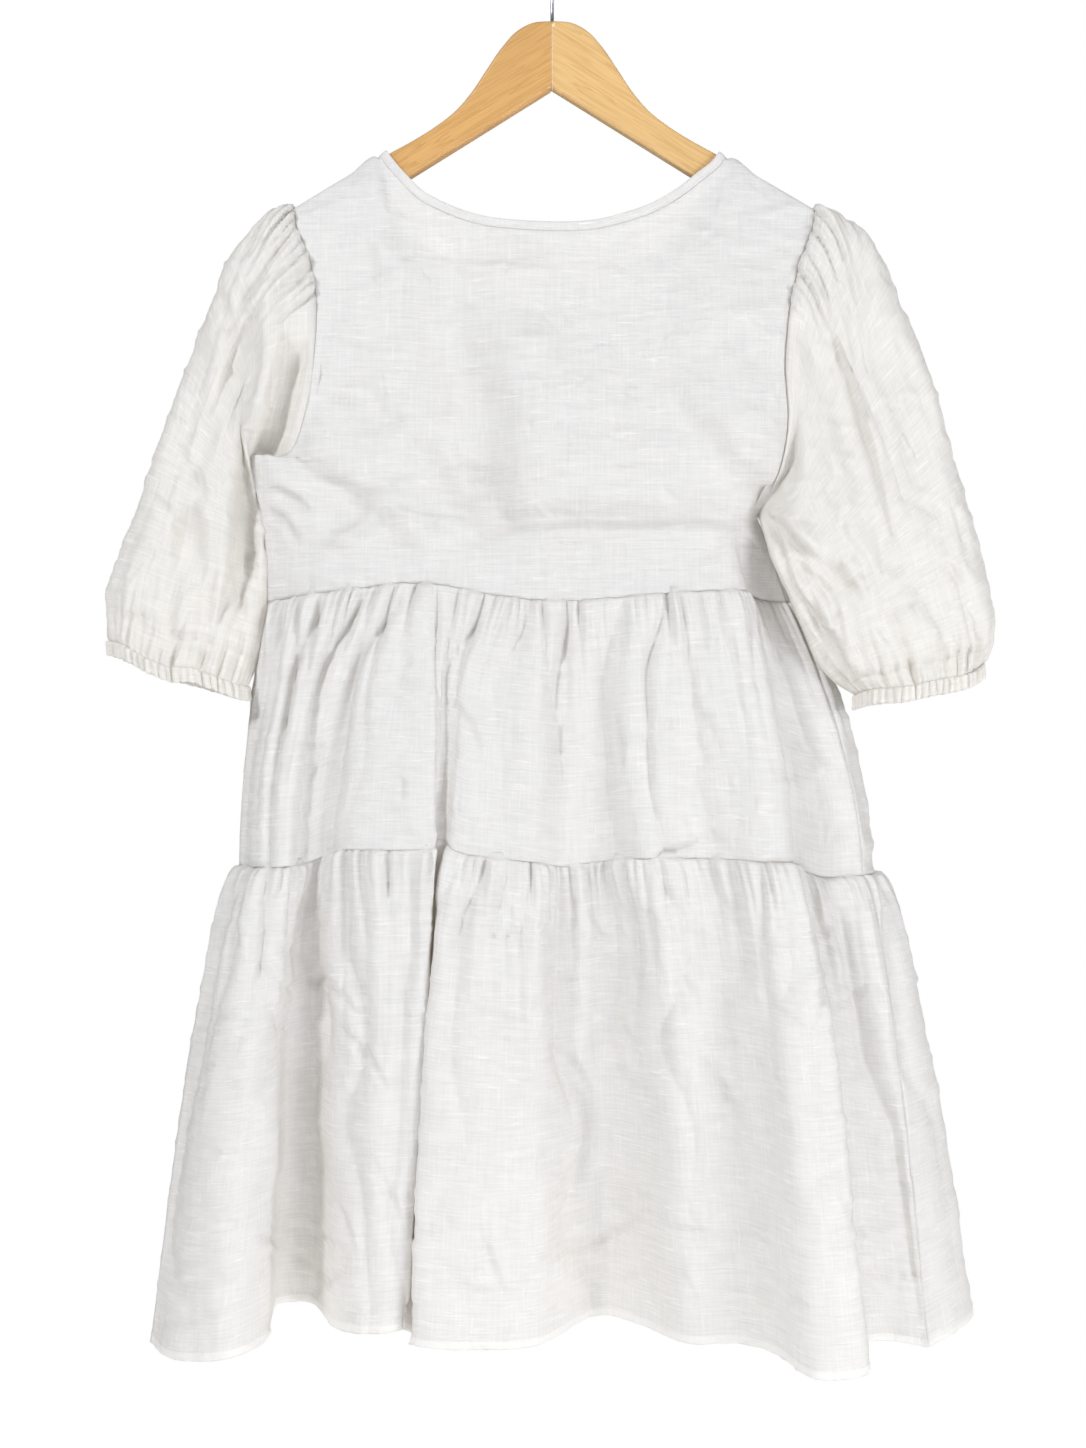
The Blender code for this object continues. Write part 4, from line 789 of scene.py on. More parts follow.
def tube(name, grid, u, v, material):
    """A closed form from rows that are rings, the last of which joins the first."""
    rows, columns = grid.shape[:2]
    closed = np.concatenate((grid, grid[:1]))
    quads, (row_at, column_at) = grid_faces(rows + 1, columns, True)
    corners = np.stack((u[column_at], v[row_at]), axis=2)
    return cloth_object(name, closed[:-1].reshape(-1, 3), quads % (rows * columns), corners, material)


def finish_piece(made, slot, *nodes):
    """Hides the parts that a piece replaces, and puts the piece under the root body. Slot is not used."""
    for node in nodes:
        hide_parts(node)
    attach(made, "root")
    return made


def stitches(name, line, outward, material, stitch):
    """A row of stitches along a line of points, half sunk into the cloth."""
    radius, length, spacing = stitch
    reached = run_of(line)
    starts = np.arange(0.5 * spacing, reached[-1] - length, spacing)
    first, last = points_at(starts, reached, line), points_at(starts + length, reached, line)
    out = unit(points_at(starts + length / 2, reached, outward))
    along = unit(last - first)
    side = np.cross(along, out)
    middle = (first + last) / 2 + STITCH_RISE * out
    rings = [first, last]
    for place in (middle - along * length * STITCH_SHOULDER, middle + along * length * STITCH_SHOULDER):
        rings.extend(place + radius * way for way in (out, side, -out, -side))
    points = np.stack(rings, axis=1).reshape(-1, 3)
    pattern = []
    for k in range(4):
        n = (k + 1) % 4
        pattern += [(0, 2 + n, 2 + k), (2 + k, 2 + n, 6 + n, 6 + k), (1, 6 + k, 6 + n)]
    faces = []
    for size in (4, 3):
        chosen = [face for face in pattern if len(face) == size]
        for base in range(0, len(points), len(rings)):
            faces += [[base + corner for corner in face] for face in chosen]
    return finish_piece(mesh_object(name, points, faces, material), "cloth")


def hem_relief(above_edge):
    """The doubled hem: a step up at its stitching, which lies in a groove."""
    step = 0.55 * (1 - smooth_step(above_edge, HEM_DEPTH - 0.4, HEM_DEPTH + 0.6))
    groove = 0.5 * np.exp(-(((above_edge - HEM_DEPTH - 0.3) / 0.8) ** 2))
    return step - groove


def side_ridge(u):
    """The seam allowance that shows as a ridge along both side seams."""
    from_edge = np.minimum(u, u[-1] - u)
    return 0.5 * np.exp(-(((from_edge - 3.6) / 1.7) ** 2)) - 0.12 * np.exp(-((from_edge / 0.8) ** 2))


def make_yoke(which, materials):
    """A bodice panel. It returns its coarse grid."""
    name = f"yoke_{which}"
    sizes = dict(zip(PANEL_SIZES, PANELS[name]))
    coarse = yoke(which)
    counts = column_counts(coarse, sizes["across_step"])
    grid = refine_down(refine(coarse, counts), row_counts(coarse, sizes["down_step"]))
    u, v = lengths(grid, 1), lengths(grid, 0)
    outward = normals_of(grid) * (1 if which == "back" else -1)
    relief = relief_of_creases(name, grid) * smooth_step(v, 4, 14)[:, None]
    above_seam = (v[-1] - v)[:, None]
    relief += gather_relief(run_of(grid[-1])[None], above_seam, PUCKERS, YOKE_SEED)
    relief -= 0.35 * np.exp(-((above_seam / 1.3) ** 2))
    relief *= smooth_step(np.minimum(u, u[-1] - u), -2, 7)[None]
    grid = grid + relief[..., None] * outward
    if which == "front":
        grid = grid[:, ::-1]
    made = shell(f"{name}_cloth", grid, u, v, materials["cloth"])
    lay_flat(made)
    finish_piece(made, "cloth", name)
    return coarse


def lay_flat(made):
    """Takes the cloth's own coordinates from where each point is, across and up."""
    places = np.empty(len(made.data.vertices) * 3, np.float32)
    made.data.vertices.foreach_get("co", places)
    loops = np.empty(len(made.data.loops), np.int32)
    made.data.loops.foreach_get("vertex_index", loops)
    flat = places.reshape(-1, 3)[loops][:, [0, 2]]
    made.data.uv_layers["cloth"].data.foreach_set("uv", flat.ravel())


def flare(tier, share):
    """How far a tier has opened at this share of its height."""
    return 1 - (1 - share) ** 1.75 if tier == "tier1" else share**0.62


def make_tier(tier, which, top, bottom_level, waves, materials, hem=False):
    """A gathered panel that hangs from the coarse line top. It returns its own coarse lowest line."""
    name = f"{tier}_{which}"
    sizes = dict(zip(PANEL_SIZES, PANELS[name]))
    bottom = level_points(which, bottom_level)
    counts = column_counts(((top + bottom) / 2)[None], sizes["across_step"])
    high = refine(top[None], counts)[0]
    low = refine(bottom[None], counts)[0]
    shares = spread(abs(high[:, 2] - low[:, 2]).mean(), 1.2, sizes["down_step"])[:, None, None]
    opened = flare(tier, shares)
    grid = high + (low - high) * np.concatenate((opened, opened, shares), axis=2)
    if name == "tier2_back":
        lean = np.array([FLAP_LEAN.get(row[0], 0.0) for row in BACK_FOLDS])
        places = np.interp(np.arange(len(high)), np.concatenate(([0], np.cumsum(counts))), range(len(lean)))
        grid[..., 0] += 4 * shares[..., 0] * (1 - shares[..., 0]) * np.interp(places, range(len(lean)), lean)
    u, v = lengths(grid[-len(grid) // 3 :], 1), lengths(grid, 0)
    along_seam = lengths(grid[:2], 1)
    outward = normals_of(grid) * (1 if which == "back" else -1)
    outward[..., 2] *= 0.3
    outward = unit(outward)
    below = v[:, None]
    seed = 20 + sorted(PANELS).index(name)
    relief = gather_relief(along_seam[None], below, waves, seed)
    relief += 1.5 * (1 - np.exp(-below / 4)) * np.exp(-below / 45) - 0.45 * np.exp(-((below / 1.2) ** 2))
    relief += relief_of_creases(name, grid) * smooth_step(below, 8, 40)
    relief *= smooth_step(np.minimum(u, u[-1] - u), -1, 6)[None]
    relief += side_ridge(u)[None]
    if hem:
        from_edge = v[-1] - below
        relief += hem_relief(from_edge)
        relief += gather_relief(u[None], from_edge, PUCKERS, seed + 40) * 0.9
    grid = grid + relief[..., None] * outward
    tucked = tuck(grid[0], outward[0], np.array((0.0, 0.0, 1.0)))
    grid, v = np.concatenate((tucked, grid)), np.concatenate((-np.array(TUCK_ROWS)[:, 0], v))
    if which == "front":
        grid, u = grid[:, ::-1], u[::-1]
    material = materials["cloth"]
    if hem:
        material = cloth_material(f"linen_hemmed_{which}", CLOTH_WHITE, hem_at=(v[-1] - HEM_DEPTH) * MM)
    made = shell(f"{name}_cloth", grid, u, v, material)
    finish_piece(made, "cloth", name)
    if hem:
        row = int(np.argmin(abs(v[-1] - v - HEM_DEPTH - 0.3)))
        outward = normals_of(grid)[row]
        stitches(f"{name}_hem_stitching", grid[row], outward, materials["thread"], HEM_STITCH)
    return bottom


def tuck(edge, outward, beyond):
    """The rows of a seam allowance, which lies under the piece that the edge is sewn to."""
    return np.array([edge + reach * beyond - under * outward for reach, under in TUCK_ROWS])


def sleeve_folds(side, face, along, around):
    """How far the folds push each place of a sleeve's row towards the far side."""
    total = np.zeros(len(around))
    for row in SLEEVE_FOLDS:
        fold = dict(zip(SLEEVE_FOLD_COLUMNS, row))
        if (fold["side"], fold["face"]) != (side, face):
            continue
        start = np.array((fold["along_0"], fold["round_0"]))
        step = np.array((fold["along_1"], fold["round_1"])) - start
        place = np.stack((np.full(len(around), along), around), axis=1) - start
        share = np.clip(place @ step / (step @ step), 0, 1)
        off = np.linalg.norm(place - share[:, None] * step, axis=1)
        total += fold["push"] * np.exp(-((off / fold["width"]) ** 2))
    return total


def sleeve_face(side, face, edge, out, steps, rows):
    """The grid of one side of a sleeve, from the outer edge to the inner edge. Edge is its armhole seam and
    out the way that the cloth leaves it."""
    around = 0.5 * steps + 0.25 * (1 - np.cos(math.pi * steps))
    seam = curve_at([seen(*place) for place in CUFF_SEAM[face, side]], around)
    outer = curve_at([seen(*place) for place in SLEEVE_OUTER[side]], rows)
    inner = curve_at([seen(*place) for place in SLEEVE_INNER[side]], rows ** INNER_SLOWNESS[side])
    across = around[:, None]
    arm_bulge = edge - (edge[0] + (edge[-1] - edge[0]) * across)
    cuff_bulge = seam - (seam[0] + (seam[-1] - seam[0]) * across)
    sign = -1 if face == "near" else 1
    hold = np.minimum(1.0, np.minimum(8 * around, 4 * (1 - around)))
    lift = np.minimum(1.0, np.minimum(8 * around, 10 * (1 - around)))
    grid = []
    for v, high, low in zip(rows, outer, inner):
        if v == 0:
            high, low = edge[0], edge[-1]
        row = high + (low - high) * across + (1 - v) ** (5 + 10 * across**4) * arm_bulge + v**4 * cuff_bulge
        leave = ARM_LEAVE * (v / 0.05) * math.exp(1 - v / 0.05) if v < 0.3 else 0
        rise = math.sin(math.pi * min(v * 1.06, 1.0)) ** PUFF_RISE if 0 < v < 1 else 0
        row = row + (leave * lift)[:, None] * out
        row[:, 1] += sign * PUFF_DEPTH[face] * rise * np.sin(math.pi * around) ** PUFF_ROUND
        row[:, 1] += sleeve_folds(side, face, v, around) * hold * min(1.0, 40 * v)
        grid.append(row)
    return np.array(grid)


def ledge_push(side, grid):
    """How far the ledges push each place of a sleeve's near face towards the far side."""
    across, drop = places_seen(grid)
    total = np.zeros(across.shape)
    body = 1 if side == "left" else -1
    for row in LEDGES[side]:
        ledge = dict(zip(LEDGE_COLUMNS, row))
        start = np.array((ledge["across_0"], ledge["drop_0"]))
        step = np.array((ledge["across_1"], ledge["drop_1"])) - start
        length = np.linalg.norm(step)
        a, d = across - start[0], drop - start[1]
        share = (a * step[0] + d * step[1]) / length**2
        off = (a * step[1] - d * step[0]) / length * body - ledge["bow"] * 4 * share * (1 - share)
        ends = smooth_step(share, 0, 0.3) * smooth_step(1 - share, 0, ledge["end"])
        rise = ends * smooth_step(off, -1.5, 2.5)
        fall = 1 - smooth_step(off, 0.5 * ledge["width"], ledge["width"])
        total = np.maximum(total, ledge["push"] * rise * fall)
    return total


def armhole_edge(side, which, coarse, columns):
    """The points of a panel's armhole, the way out of the panel there, the way that the panel faces and each
    point's share of the armhole, counted in the panel's rows."""
    column, beside = (0, 1) if side == "left" else (-1, -2)
    grid = coarse[:ARMHOLE_ROWS]
    edge = grid[:, column]
    tangent = unit(np.gradient(edge, axis=0))
    out = edge - grid[:, beside]
    out = unit(out - tangent * np.sum(out * tangent, axis=1, keepdims=True))
    dense = refine(edge[None], [40] * (ARMHOLE_ROWS - 1))[0]
    steps = np.linspace(0, 1, len(dense))
    reached = run_of(dense)
    chosen = np.interp(np.linspace(0, 1, columns + 1), (steps + reached / reached[-1]) / 2, steps)
    places, knots = chosen * (len(edge) - 1), range(len(edge))
    facing = normals_of(grid)[:, column] * (1 if which == "back" else -1)
    out, facing = points_at(places, knots, out), points_at(places, knots, facing)
    return points_at(chosen, steps, dense), unit(out), unit(facing), chosen


def make_sleeve(side, yokes, materials):
    """A sleeve. It returns the ring at its cuff seam."""
    near = armhole_edge(side, "back", yokes["back"], SLEEVE_HALF_COLUMNS)
    far = armhole_edge(side, "front", yokes["front"], SLEEVE_HALF_COLUMNS)
    for a, b in zip(near[:3], far[:3]):
        for end in (0, -1):
            a[end] = b[end] = (a[end] + b[end]) / 2
    rows = spread(*SLEEVE_SPREAD)
    faces = []
    for face, (edge, out, facing, steps) in (("near", near), ("far", far)):
        made = sleeve_face(side, face, edge + SEAM_GAP * unit(out), unit(out), steps, rows)
        if face == "near":
            hold = smooth_step(lengths(made, 0), 1, 8)[:, None] * np.minimum(1.0, 12 * (1 - steps))
            made[..., 1] += ledge_push(side, made) * hold
        faces.append(np.concatenate((tuck(edge, unit(facing), -unit(out)), made)))
    if side == "left":
        ring = np.concatenate((faces[0], faces[1][:, -2:0:-1]), axis=1)
    else:
        ring = np.concatenate((faces[0][:, ::-1], faces[1][:, 1:-1]), axis=1)
    tucked, ring = ring[: len(TUCK_ROWS)], ring[len(TUCK_ROWS) :]
    columns = ring.shape[1]
    number = np.arange(columns)
    from_outer = np.minimum(number, columns - number) / SLEEVE_HALF_COLUMNS
    if side == "right":
        from_outer = 1 - from_outer
    v = lengths(ring, 0)
    seam = run_of(ring[0])
    if side == "left":
        whole = seam[-1] + np.linalg.norm(ring[0, -1] - ring[0, 0])
        from_shoulder = np.minimum(seam, whole - seam)
    else:
        from_shoulder = np.abs(seam - seam[SLEEVE_HALF_COLUMNS])
    seed = SLEEVE_SEEDS[side]
    slant = CAP_SLANT * (1 - np.exp(-v[:, None] / CAP_SLANT))
    cap = gather_relief(from_shoulder[None] - slant, v[:, None], CAP_WAVES, seed)
    relief = cap * (0.04 + 0.96 * (1 - smooth_step(from_shoulder, *CAP_GATHERED)))[None]
    above_cuff = v[-1] - v
    relief += gather_relief(run_of(ring[-1])[None], above_cuff[:, None], CUFF_WAVES, seed + 3)
    hold = smooth_step(v, 6, 30) * smooth_step(above_cuff, 3, 20)
    relief += relief_of_creases(f"sleeve_{side}", ring) * hold[:, None]
    relief -= 0.5 * np.exp(-((v / 1.2) ** 2))[:, None] + 0.5 * np.exp(-((above_cuff / 1.2) ** 2))[:, None]
    under_arm = 0.5 * np.exp(-(((1 - from_outer) * 300 - 3) / 2.0) ** 2)
    relief += under_arm[None] * smooth_step(v, 10, 30)[:, None]
    relief *= (0.15 + 0.85 * smooth_step(1 - from_outer, 0.0, 0.08))[None]
    ring = ring + relief[..., None] * normals_of(ring, True)
    seam_ring, seam_out = ring[-1], normals_of(ring, True)[-1]
    ring = np.concatenate((tucked, ring, ring[-1:] - 0.3 * seam_out - np.array((0.0, 0.0, 1.6))))
    v = np.concatenate((-np.array(TUCK_ROWS)[:, 0], v, v[-1:] + 1.6))
    u = np.concatenate((lengths(ring[len(ring) // 3 : len(ring) // 2], 1), [0]))
    u[-1] = 2 * u[-2] - u[-3]
    made = shell(f"sleeve_{side}_cloth", ring, u, v, materials["sleeve"], ring=True)
    finish_piece(made, "cloth", f"sleeve_{side}")
    return seam_ring


def make_cuff(side, seam, materials):
    """The shirred cuff under a sleeve's last ring: narrow pleats over an elastic band."""
    closed = np.concatenate((seam, seam[:1]))
    reached = run_of(closed)
    share = np.arange(CUFF_COLUMNS) / CUFF_COLUMNS
    top = points_at(share * reached[-1], reached, closed)
    for _ in range(30):
        top = (np.roll(top, 1, axis=0) + 2 * top + np.roll(top, -1, axis=0)) / 4
    top[:, 2] -= SEAM_GAP
    around = np.roll(top, -1, axis=0) - np.roll(top, 1, axis=0)
    out = unit(np.stack((around[:, 1], -around[:, 0], np.zeros(CUFF_COLUMNS)), axis=1))
    down = unit(np.array((CUFF_LEAN[side], 0, -1)))
    seed = CUFF_SEEDS[side]
    rows = []
    for fall, bulge in CUFF_SECTION:
        phase = share * CUFF_PLEATS + 0.16 * wander(share * CUFF_PLEATS * 0.7 + fall * 0.06, seed)
        size = 0.95 + 0.35 * wander(np.round(phase), seed + 1)
        pleat = size * (np.abs(np.cos(math.pi * phase)) ** 0.75 - 0.35)
        reach = CUFF_PLEAT if bulge > 0 else CUFF_PLEAT_INSIDE
        away = bulge * 1.1 + reach * pleat * (0.6 if fall in CUFF_ENDS else 1.0)
        drop = fall * CUFF_HEIGHT / 9.5 + (0.9 * pleat if fall > 8 else 0)
        rows.append(top + away[:, None] * out + np.asarray(drop).reshape(-1, 1) * down)
    u = np.concatenate((share, [1.0])) * reached[-1] * 2
    v = np.array([fall for fall, _ in CUFF_SECTION + CUFF_SECTION[:1]])
    made = tube(f"cuff_{side}_cloth", np.array(rows), u, v, materials["sleeve"])
    finish_piece(made, "cloth", f"cuff_{side}")


def make_binding(yokes, materials):
    """The bound neckline: a folded strip with a rounded top edge and a row of stitching near its seam."""
    first, last = 3, PANEL_COLUMNS - 3
    low, high = [], []
    for which in ("back", "front"):
        coarse = yokes[which]
        edge = coarse[0, first : last + 1]
        tangent = unit(np.gradient(edge, axis=0))
        step = edge - coarse[1, first : last + 1]
        step = unit(step - tangent * np.sum(step * tangent, axis=1, keepdims=True))
        for end, inward in ((0, 1), (-1, -1)):
            along = np.array((inward * math.cos(ARM_SLOPE), 0, math.sin(ARM_SLOPE)))
            for k in range(3):
                number = end + k * inward
                step[number] = unit(step[number] * k / 3 + along * (3 - k) / 3)
        keep = slice(None) if which == "back" else slice(-2, 0, -1)
        low.append(edge[keep] + SEAM_GAP * step[keep])
        high.append(edge[keep] + (SEAM_GAP + BINDING_WIDTH) * step[keep])
    lines = []
    for line in (np.concatenate(low), np.concatenate(high)):
        closed = np.concatenate((line[-1:], line, line[:2]))
        fine = refine(closed[None], [BINDING_PARTS] * (len(closed) - 1))[0]
        lines.append(fine[BINDING_PARTS : -BINDING_PARTS - 1])
    low, high = lines
    up = unit(high - low)
    around = np.roll(low, -1, axis=0) - np.roll(low, 1, axis=0)
    outward = unit(np.cross(-up, around))
    reached = np.concatenate(([0.0], np.cumsum(np.linalg.norm(around, axis=1) / 2)))
    ripple = 0.14 * wander(reached[:-1] / 5, 5) + 0.1 * wander(reached[:-1] / 11, 6)
    rows = []
    for rise, stand in BINDING_SECTION:
        away = stand + ripple if stand > 0 else np.full(len(low), stand)
        rows.append(low + rise * up + away[:, None] * outward)
    v = np.array([rise for rise, _ in BINDING_SECTION] + [0.0])
    made = tube("neck_binding_cloth", np.array(rows)[::-1], reached, v[::-1], materials["cloth"])
    finish_piece(made, "cloth", "neck_binding")
    line = low + 1.3 * up + 0.2 * outward
    line, outward = np.concatenate((line, line[:1])), np.concatenate((outward, outward[:1]))
    stitches("neck_binding_stitching", line, outward, materials["thread"], NECK_STITCH)


def arm_outline():
    """The outline of the left arm in the hanger's plane, from the top of the mitre round to its foot."""
    points = list(curve_at(ARM_HUMP, np.linspace(0, 1, 64)))
    run = np.array((-math.cos(ARM_SLOPE), -math.sin(ARM_SLOPE)))
    up = np.array((-math.sin(ARM_SLOPE), math.cos(ARM_SLOPE)))
    length = (ARM_TIP_ACROSS + ARM_HUMP[-1][0] - ARM_HEIGHT / 2) / math.cos(ARM_SLOPE)
    corner = points[-1] + run * length
    centre = corner - up * ARM_HEIGHT / 2
    points += [points[-1] + (corner - points[-1]) * k / 16 for k in range(1, 16)]
    for turn in np.linspace(0, math.pi, 25):
        points.append(centre + ARM_HEIGHT / 2 * (up * math.cos(turn) + run * math.sin(turn)))
    foot, end = np.array(ARM_FOOT), points[-1]
    points += [end + (foot - end) * k / 48 for k in range(1, 49)]
    return np.array(points)


def make_arm(side, materials):
    """One mitred half of the hanger, with its long edges rounded."""
    outline = arm_outline()
    around = np.roll(outline, -1, axis=0) - np.roll(outline, 1, axis=0)
    inward = np.stack((-around[:, 1], around[:, 0]), axis=1)
    for end in (0, -1):
        inward[end] = (0, -1 if end == 0 else 1)
    inward /= np.linalg.norm(inward, axis=1, keepdims=True)
    half = ARM_THICK / 2
    turns = np.radians(np.linspace(0, 90, 7))
    levels = [(-half, ARM_ROUND + ARM_FLAT_RING), (-half, ARM_ROUND)]
    for turn in turns[-2::-1]:
        levels.append((-half + ARM_ROUND * (1 - math.sin(turn)), ARM_ROUND * (1 - math.cos(turn))))
    levels += [(-depth, inset) for depth, inset in levels[::-1]]
    rings = []
    for depth, inset in levels:
        flat = outline + inset * inward
        flat[:, 0] = np.minimum(flat[:, 0], 0)
        x = (flat[:, 0] - MITRE_GAP / 2) * (1 if side == "left" else -1)
        rings.append(np.stack((x, np.full(len(flat), depth), flat[:, 1]), axis=1))
    count = len(outline)
    points = np.concatenate(rings)
    faces = [tuple(range(count)), tuple(range(len(points) - 1, len(points) - count - 1, -1))]
    for ring in range(len(rings) - 1):
        for i in range(count):
            a, b = ring * count + i, ring * count + (i + 1) % count
            faces.append((a, a + count, b + count, b))
    if side == "right":
        faces = [face[::-1] for face in faces]
    smooth = [len(face) == 4 for face in faces]
    made = mesh_object(f"hanger_{side}_wood", points, faces, materials[f"wood_{side}"], smooth)
    finish_piece(made, "wood", f"hanger_{side}")


def make_hook(materials):
    """The wire: a straight stem, an S bend and a crook whose highest inner point is the origin."""
    centre = np.array((0.0, 0.0, -(CROOK_RADIUS - WIRE_RADIUS)))
    path = [np.array((0.0, 0.0, -WOOD_TOP_DROP + WIRE_SUNK)), np.array((0.0, 0.0, -STEM_TOP_DROP))]
    path.extend(curve_at(HOOK_BEND, np.linspace(0, 1, 14)[:-1]))
    for angle in np.linspace(*CROOK_TURN, 64):
        path.append(centre + CROOK_RADIUS * np.array((math.cos(angle), 0, math.sin(angle))))
    path = np.array(path)
    tangents = unit(np.gradient(path, axis=0))
    turn = (2 * math.pi * np.arange(WIRE_SIDES) / WIRE_SIDES)[:, None]
    out = np.stack((tangents[:, 2], np.zeros(len(path)), -tangents[:, 0]), axis=1)
    circles = out[:, None] * np.cos(turn) + np.array((0.0, 1.0, 0.0)) * np.sin(turn)
    rings = list(path[:, None] + WIRE_RADIUS * circles)
    for angle in TIP_TURNS:
        end = path[-1] + tangents[-1] * WIRE_RADIUS * math.sin(angle)
        rings.append(end + WIRE_RADIUS * math.cos(angle) * circles[-1])
    quads, _ = grid_faces(len(rings), WIRE_SIDES, True)
    count = len(rings) * WIRE_SIDES
    ends = [list(range(WIRE_SIDES)), list(range(count - 1, count - WIRE_SIDES - 1, -1))]
    faces = quads[:, ::-1].tolist() + ends
    made = mesh_object("hanger_hook_wire", np.concatenate(rings), faces, materials["wire"])
    finish_piece(made, "wire", "hanger_hook")


class Nodes:
    """A material's nodes, added and joined with few words."""

    def __init__(self, name):
        self.material = bpy.data.materials.new(name)
        self.material.use_nodes = True
        self.tree = self.material.node_tree
        self.shader = self.tree.nodes["Principled BSDF"]
        self.output = self.tree.nodes["Material Output"]

    def add(self, kind, values=(), **settings):
        node = self.tree.nodes.new(kind)
        for key, value in settings.items():
            setattr(node, key, value)
        for socket, value in dict(values).items():
            if isinstance(value, bpy.types.NodeSocket):
                self.tree.links.new(value, node.inputs[socket])
            else:
                node.inputs[socket].default_value = value
        return node.outputs[0]

    def link(self, output, socket):
        self.tree.links.new(output, socket)

    def maths(self, operation, a, b=0.0):
        return self.add("ShaderNodeMath", {0: a, 1: b}, operation=operation)

    def noise(self, vector, scale, detail=2.0, rough=0.5):
        values = {"Vector": vector, "Scale": scale, "Detail": detail, "Roughness": rough}
        return self.add("ShaderNodeTexNoise", values)

    def stretched(self, vector, scale):
        return self.add("ShaderNodeMapping", {"Vector": vector, "Scale": scale})

    def ramp(self, value, low, high):
        """The value from low to high as nought to one."""
        node = self.tree.nodes.new("ShaderNodeMapRange")
        self.link(value, node.inputs["Value"])
        node.inputs["From Min"].default_value = low
        node.inputs["From Max"].default_value = high
        return node.outputs[0]

    def blend(self, share, a, b):
        """A colour between two others."""
        node = self.tree.nodes.new("ShaderNodeMix")
        node.data_type = "RGBA"
        colours = [socket for socket in node.inputs if socket.type == "RGBA"]
        shares = [socket for socket in node.inputs if socket.name == "Factor" and socket.type == "VALUE"]
        for socket, value in ((shares[0], share), (colours[0], a), (colours[1], b)):
            if isinstance(value, bpy.types.NodeSocket):
                self.link(value, socket)
            else:
                socket.default_value = value
        return [socket for socket in node.outputs if socket.type == "RGBA"][0]


def cloth_material(name, white, through=THROUGH_SHARE, hem_at=None):
    """Slub linen and cotton: fine threads, with thick ones here and there, both ways. Below hem_at, in metres
    of the cloth's own length, it is doubled and so paler."""
    made = Nodes(name)
    uv = made.add("ShaderNodeUVMap", uv_map="cloth")
    weft = made.noise(made.stretched(uv, (30.0, 640.0, 1.0)), 1.0, 3.0, 0.62)
    warp = made.noise(made.stretched(uv, (610.0, 24.0, 1.0)), 1.0, 3.0, 0.62)
    weft_slub = made.ramp(made.noise(made.stretched(uv, (46.0, 560.0, 1.0)), 1.0, 1.0), 0.62, 0.72)
    warp_slub = made.ramp(made.noise(made.stretched(uv, (520.0, 36.0, 1.0)), 1.0, 1.0), 0.64, 0.74)
    crumple = made.noise(made.stretched(uv, (70.0, 100.0, 1.0)), 1.0, 4.0, 0.62)
    threads = made.maths("ADD", made.maths("MULTIPLY", weft, 1.25), made.maths("MULTIPLY", warp, 0.75))
    slubs = made.maths("ADD", weft_slub, made.maths("MULTIPLY", warp_slub, 0.6))
    height = made.maths("ADD", made.maths("MULTIPLY", threads, 0.8), made.maths("MULTIPLY", slubs, 0.5))
    height = made.maths("ADD", height, made.maths("MULTIPLY", crumple, 3.2))
    bump = made.add("ShaderNodeBump", {"Height": height, "Strength": 0.7, "Distance": 0.0005})
    dim = tuple(DIM_THREAD * part for part in white)
    bright = tuple(min(1.0, BRIGHT_THREAD * part) for part in white)
    tone = made.blend(made.ramp(threads, 0.7, 1.3), (*dim, 1), (*white, 1))
    tone = made.blend(made.maths("MULTIPLY", slubs, 0.8), tone, (*bright, 1))
    if hem_at:
        down = made.add("ShaderNodeSeparateXYZ", {"Vector": uv}).node.outputs["Y"]
        doubled = made.maths("MULTIPLY", made.ramp(down, hem_at, hem_at + HEM_BLUR), HEM_PALER)
        tone = made.blend(doubled, tone, (*bright, 1))
    made.link(tone, made.shader.inputs["Base Color"])
    made.shader.inputs["Roughness"].default_value = 0.55
    made.shader.inputs["Specular IOR Level"].default_value = 0.5
    made.shader.inputs["Sheen Weight"].default_value = 0.12
    made.shader.inputs["Sheen Roughness"].default_value = 0.5
    made.link(bump, made.shader.inputs["Normal"])
    glow = made.add("ShaderNodeBsdfTranslucent", {"Color": (*LIGHT_THROUGH, 1), "Normal": bump})
    mixed = made.add("ShaderNodeMixShader", {0: through, 1: made.shader.outputs[0], 2: glow})
    made.link(mixed, made.output.inputs["Surface"])
    return made.material


def wood_material(side):
    """Varnished wood with its grain along the arm."""
    pale, dark = WOOD_COLOURS[side]
    made = Nodes(f"varnished_wood_{side}")
    place = made.add("ShaderNodeTexCoord").node.outputs["Object"]
    turn = ARM_SLOPE if side == "left" else -ARM_SLOPE
    laid = made.add("ShaderNodeMapping", {"Vector": place, "Rotation": (0.0, turn, 0.0)})
    rings = made.noise(made.stretched(laid, (5.0, 60.0, 95.0)), 1.0, 3.0, 0.55)
    fibre = made.noise(made.stretched(laid, (30.0, 420.0, 900.0)), 1.0, 3.0, 0.6)
    broad = made.noise(made.stretched(laid, (9.0, 20.0, 26.0)), 1.0, 2.0)
    wave = made.maths("FRACT", made.maths("MULTIPLY", rings, 9.0))
    line = made.ramp(wave, 0.55, 1.0)
    tone = made.blend(made.maths("MULTIPLY", line, 0.55), (*pale, 1), (*dark, 1))
    tone = made.blend(made.maths("MULTIPLY", made.ramp(fibre, 0.45, 0.7), 0.45), tone, (*dark, 1))
    patch = (*(part * WOOD_PATCH for part in pale), 1)
    tone = made.blend(made.maths("MULTIPLY", made.ramp(broad, 0.42, 0.68), 0.4), tone, patch)
    made.link(tone, made.shader.inputs["Base Color"])
    made.shader.inputs["Roughness"].default_value = 0.38
    made.shader.inputs["Coat Weight"].default_value = 0.25
    made.shader.inputs["Coat Roughness"].default_value = 0.25
    bump = made.add("ShaderNodeBump", {"Height": fibre, "Strength": 0.18, "Distance": 0.0003})
    made.link(bump, made.shader.inputs["Normal"])
    return made.material


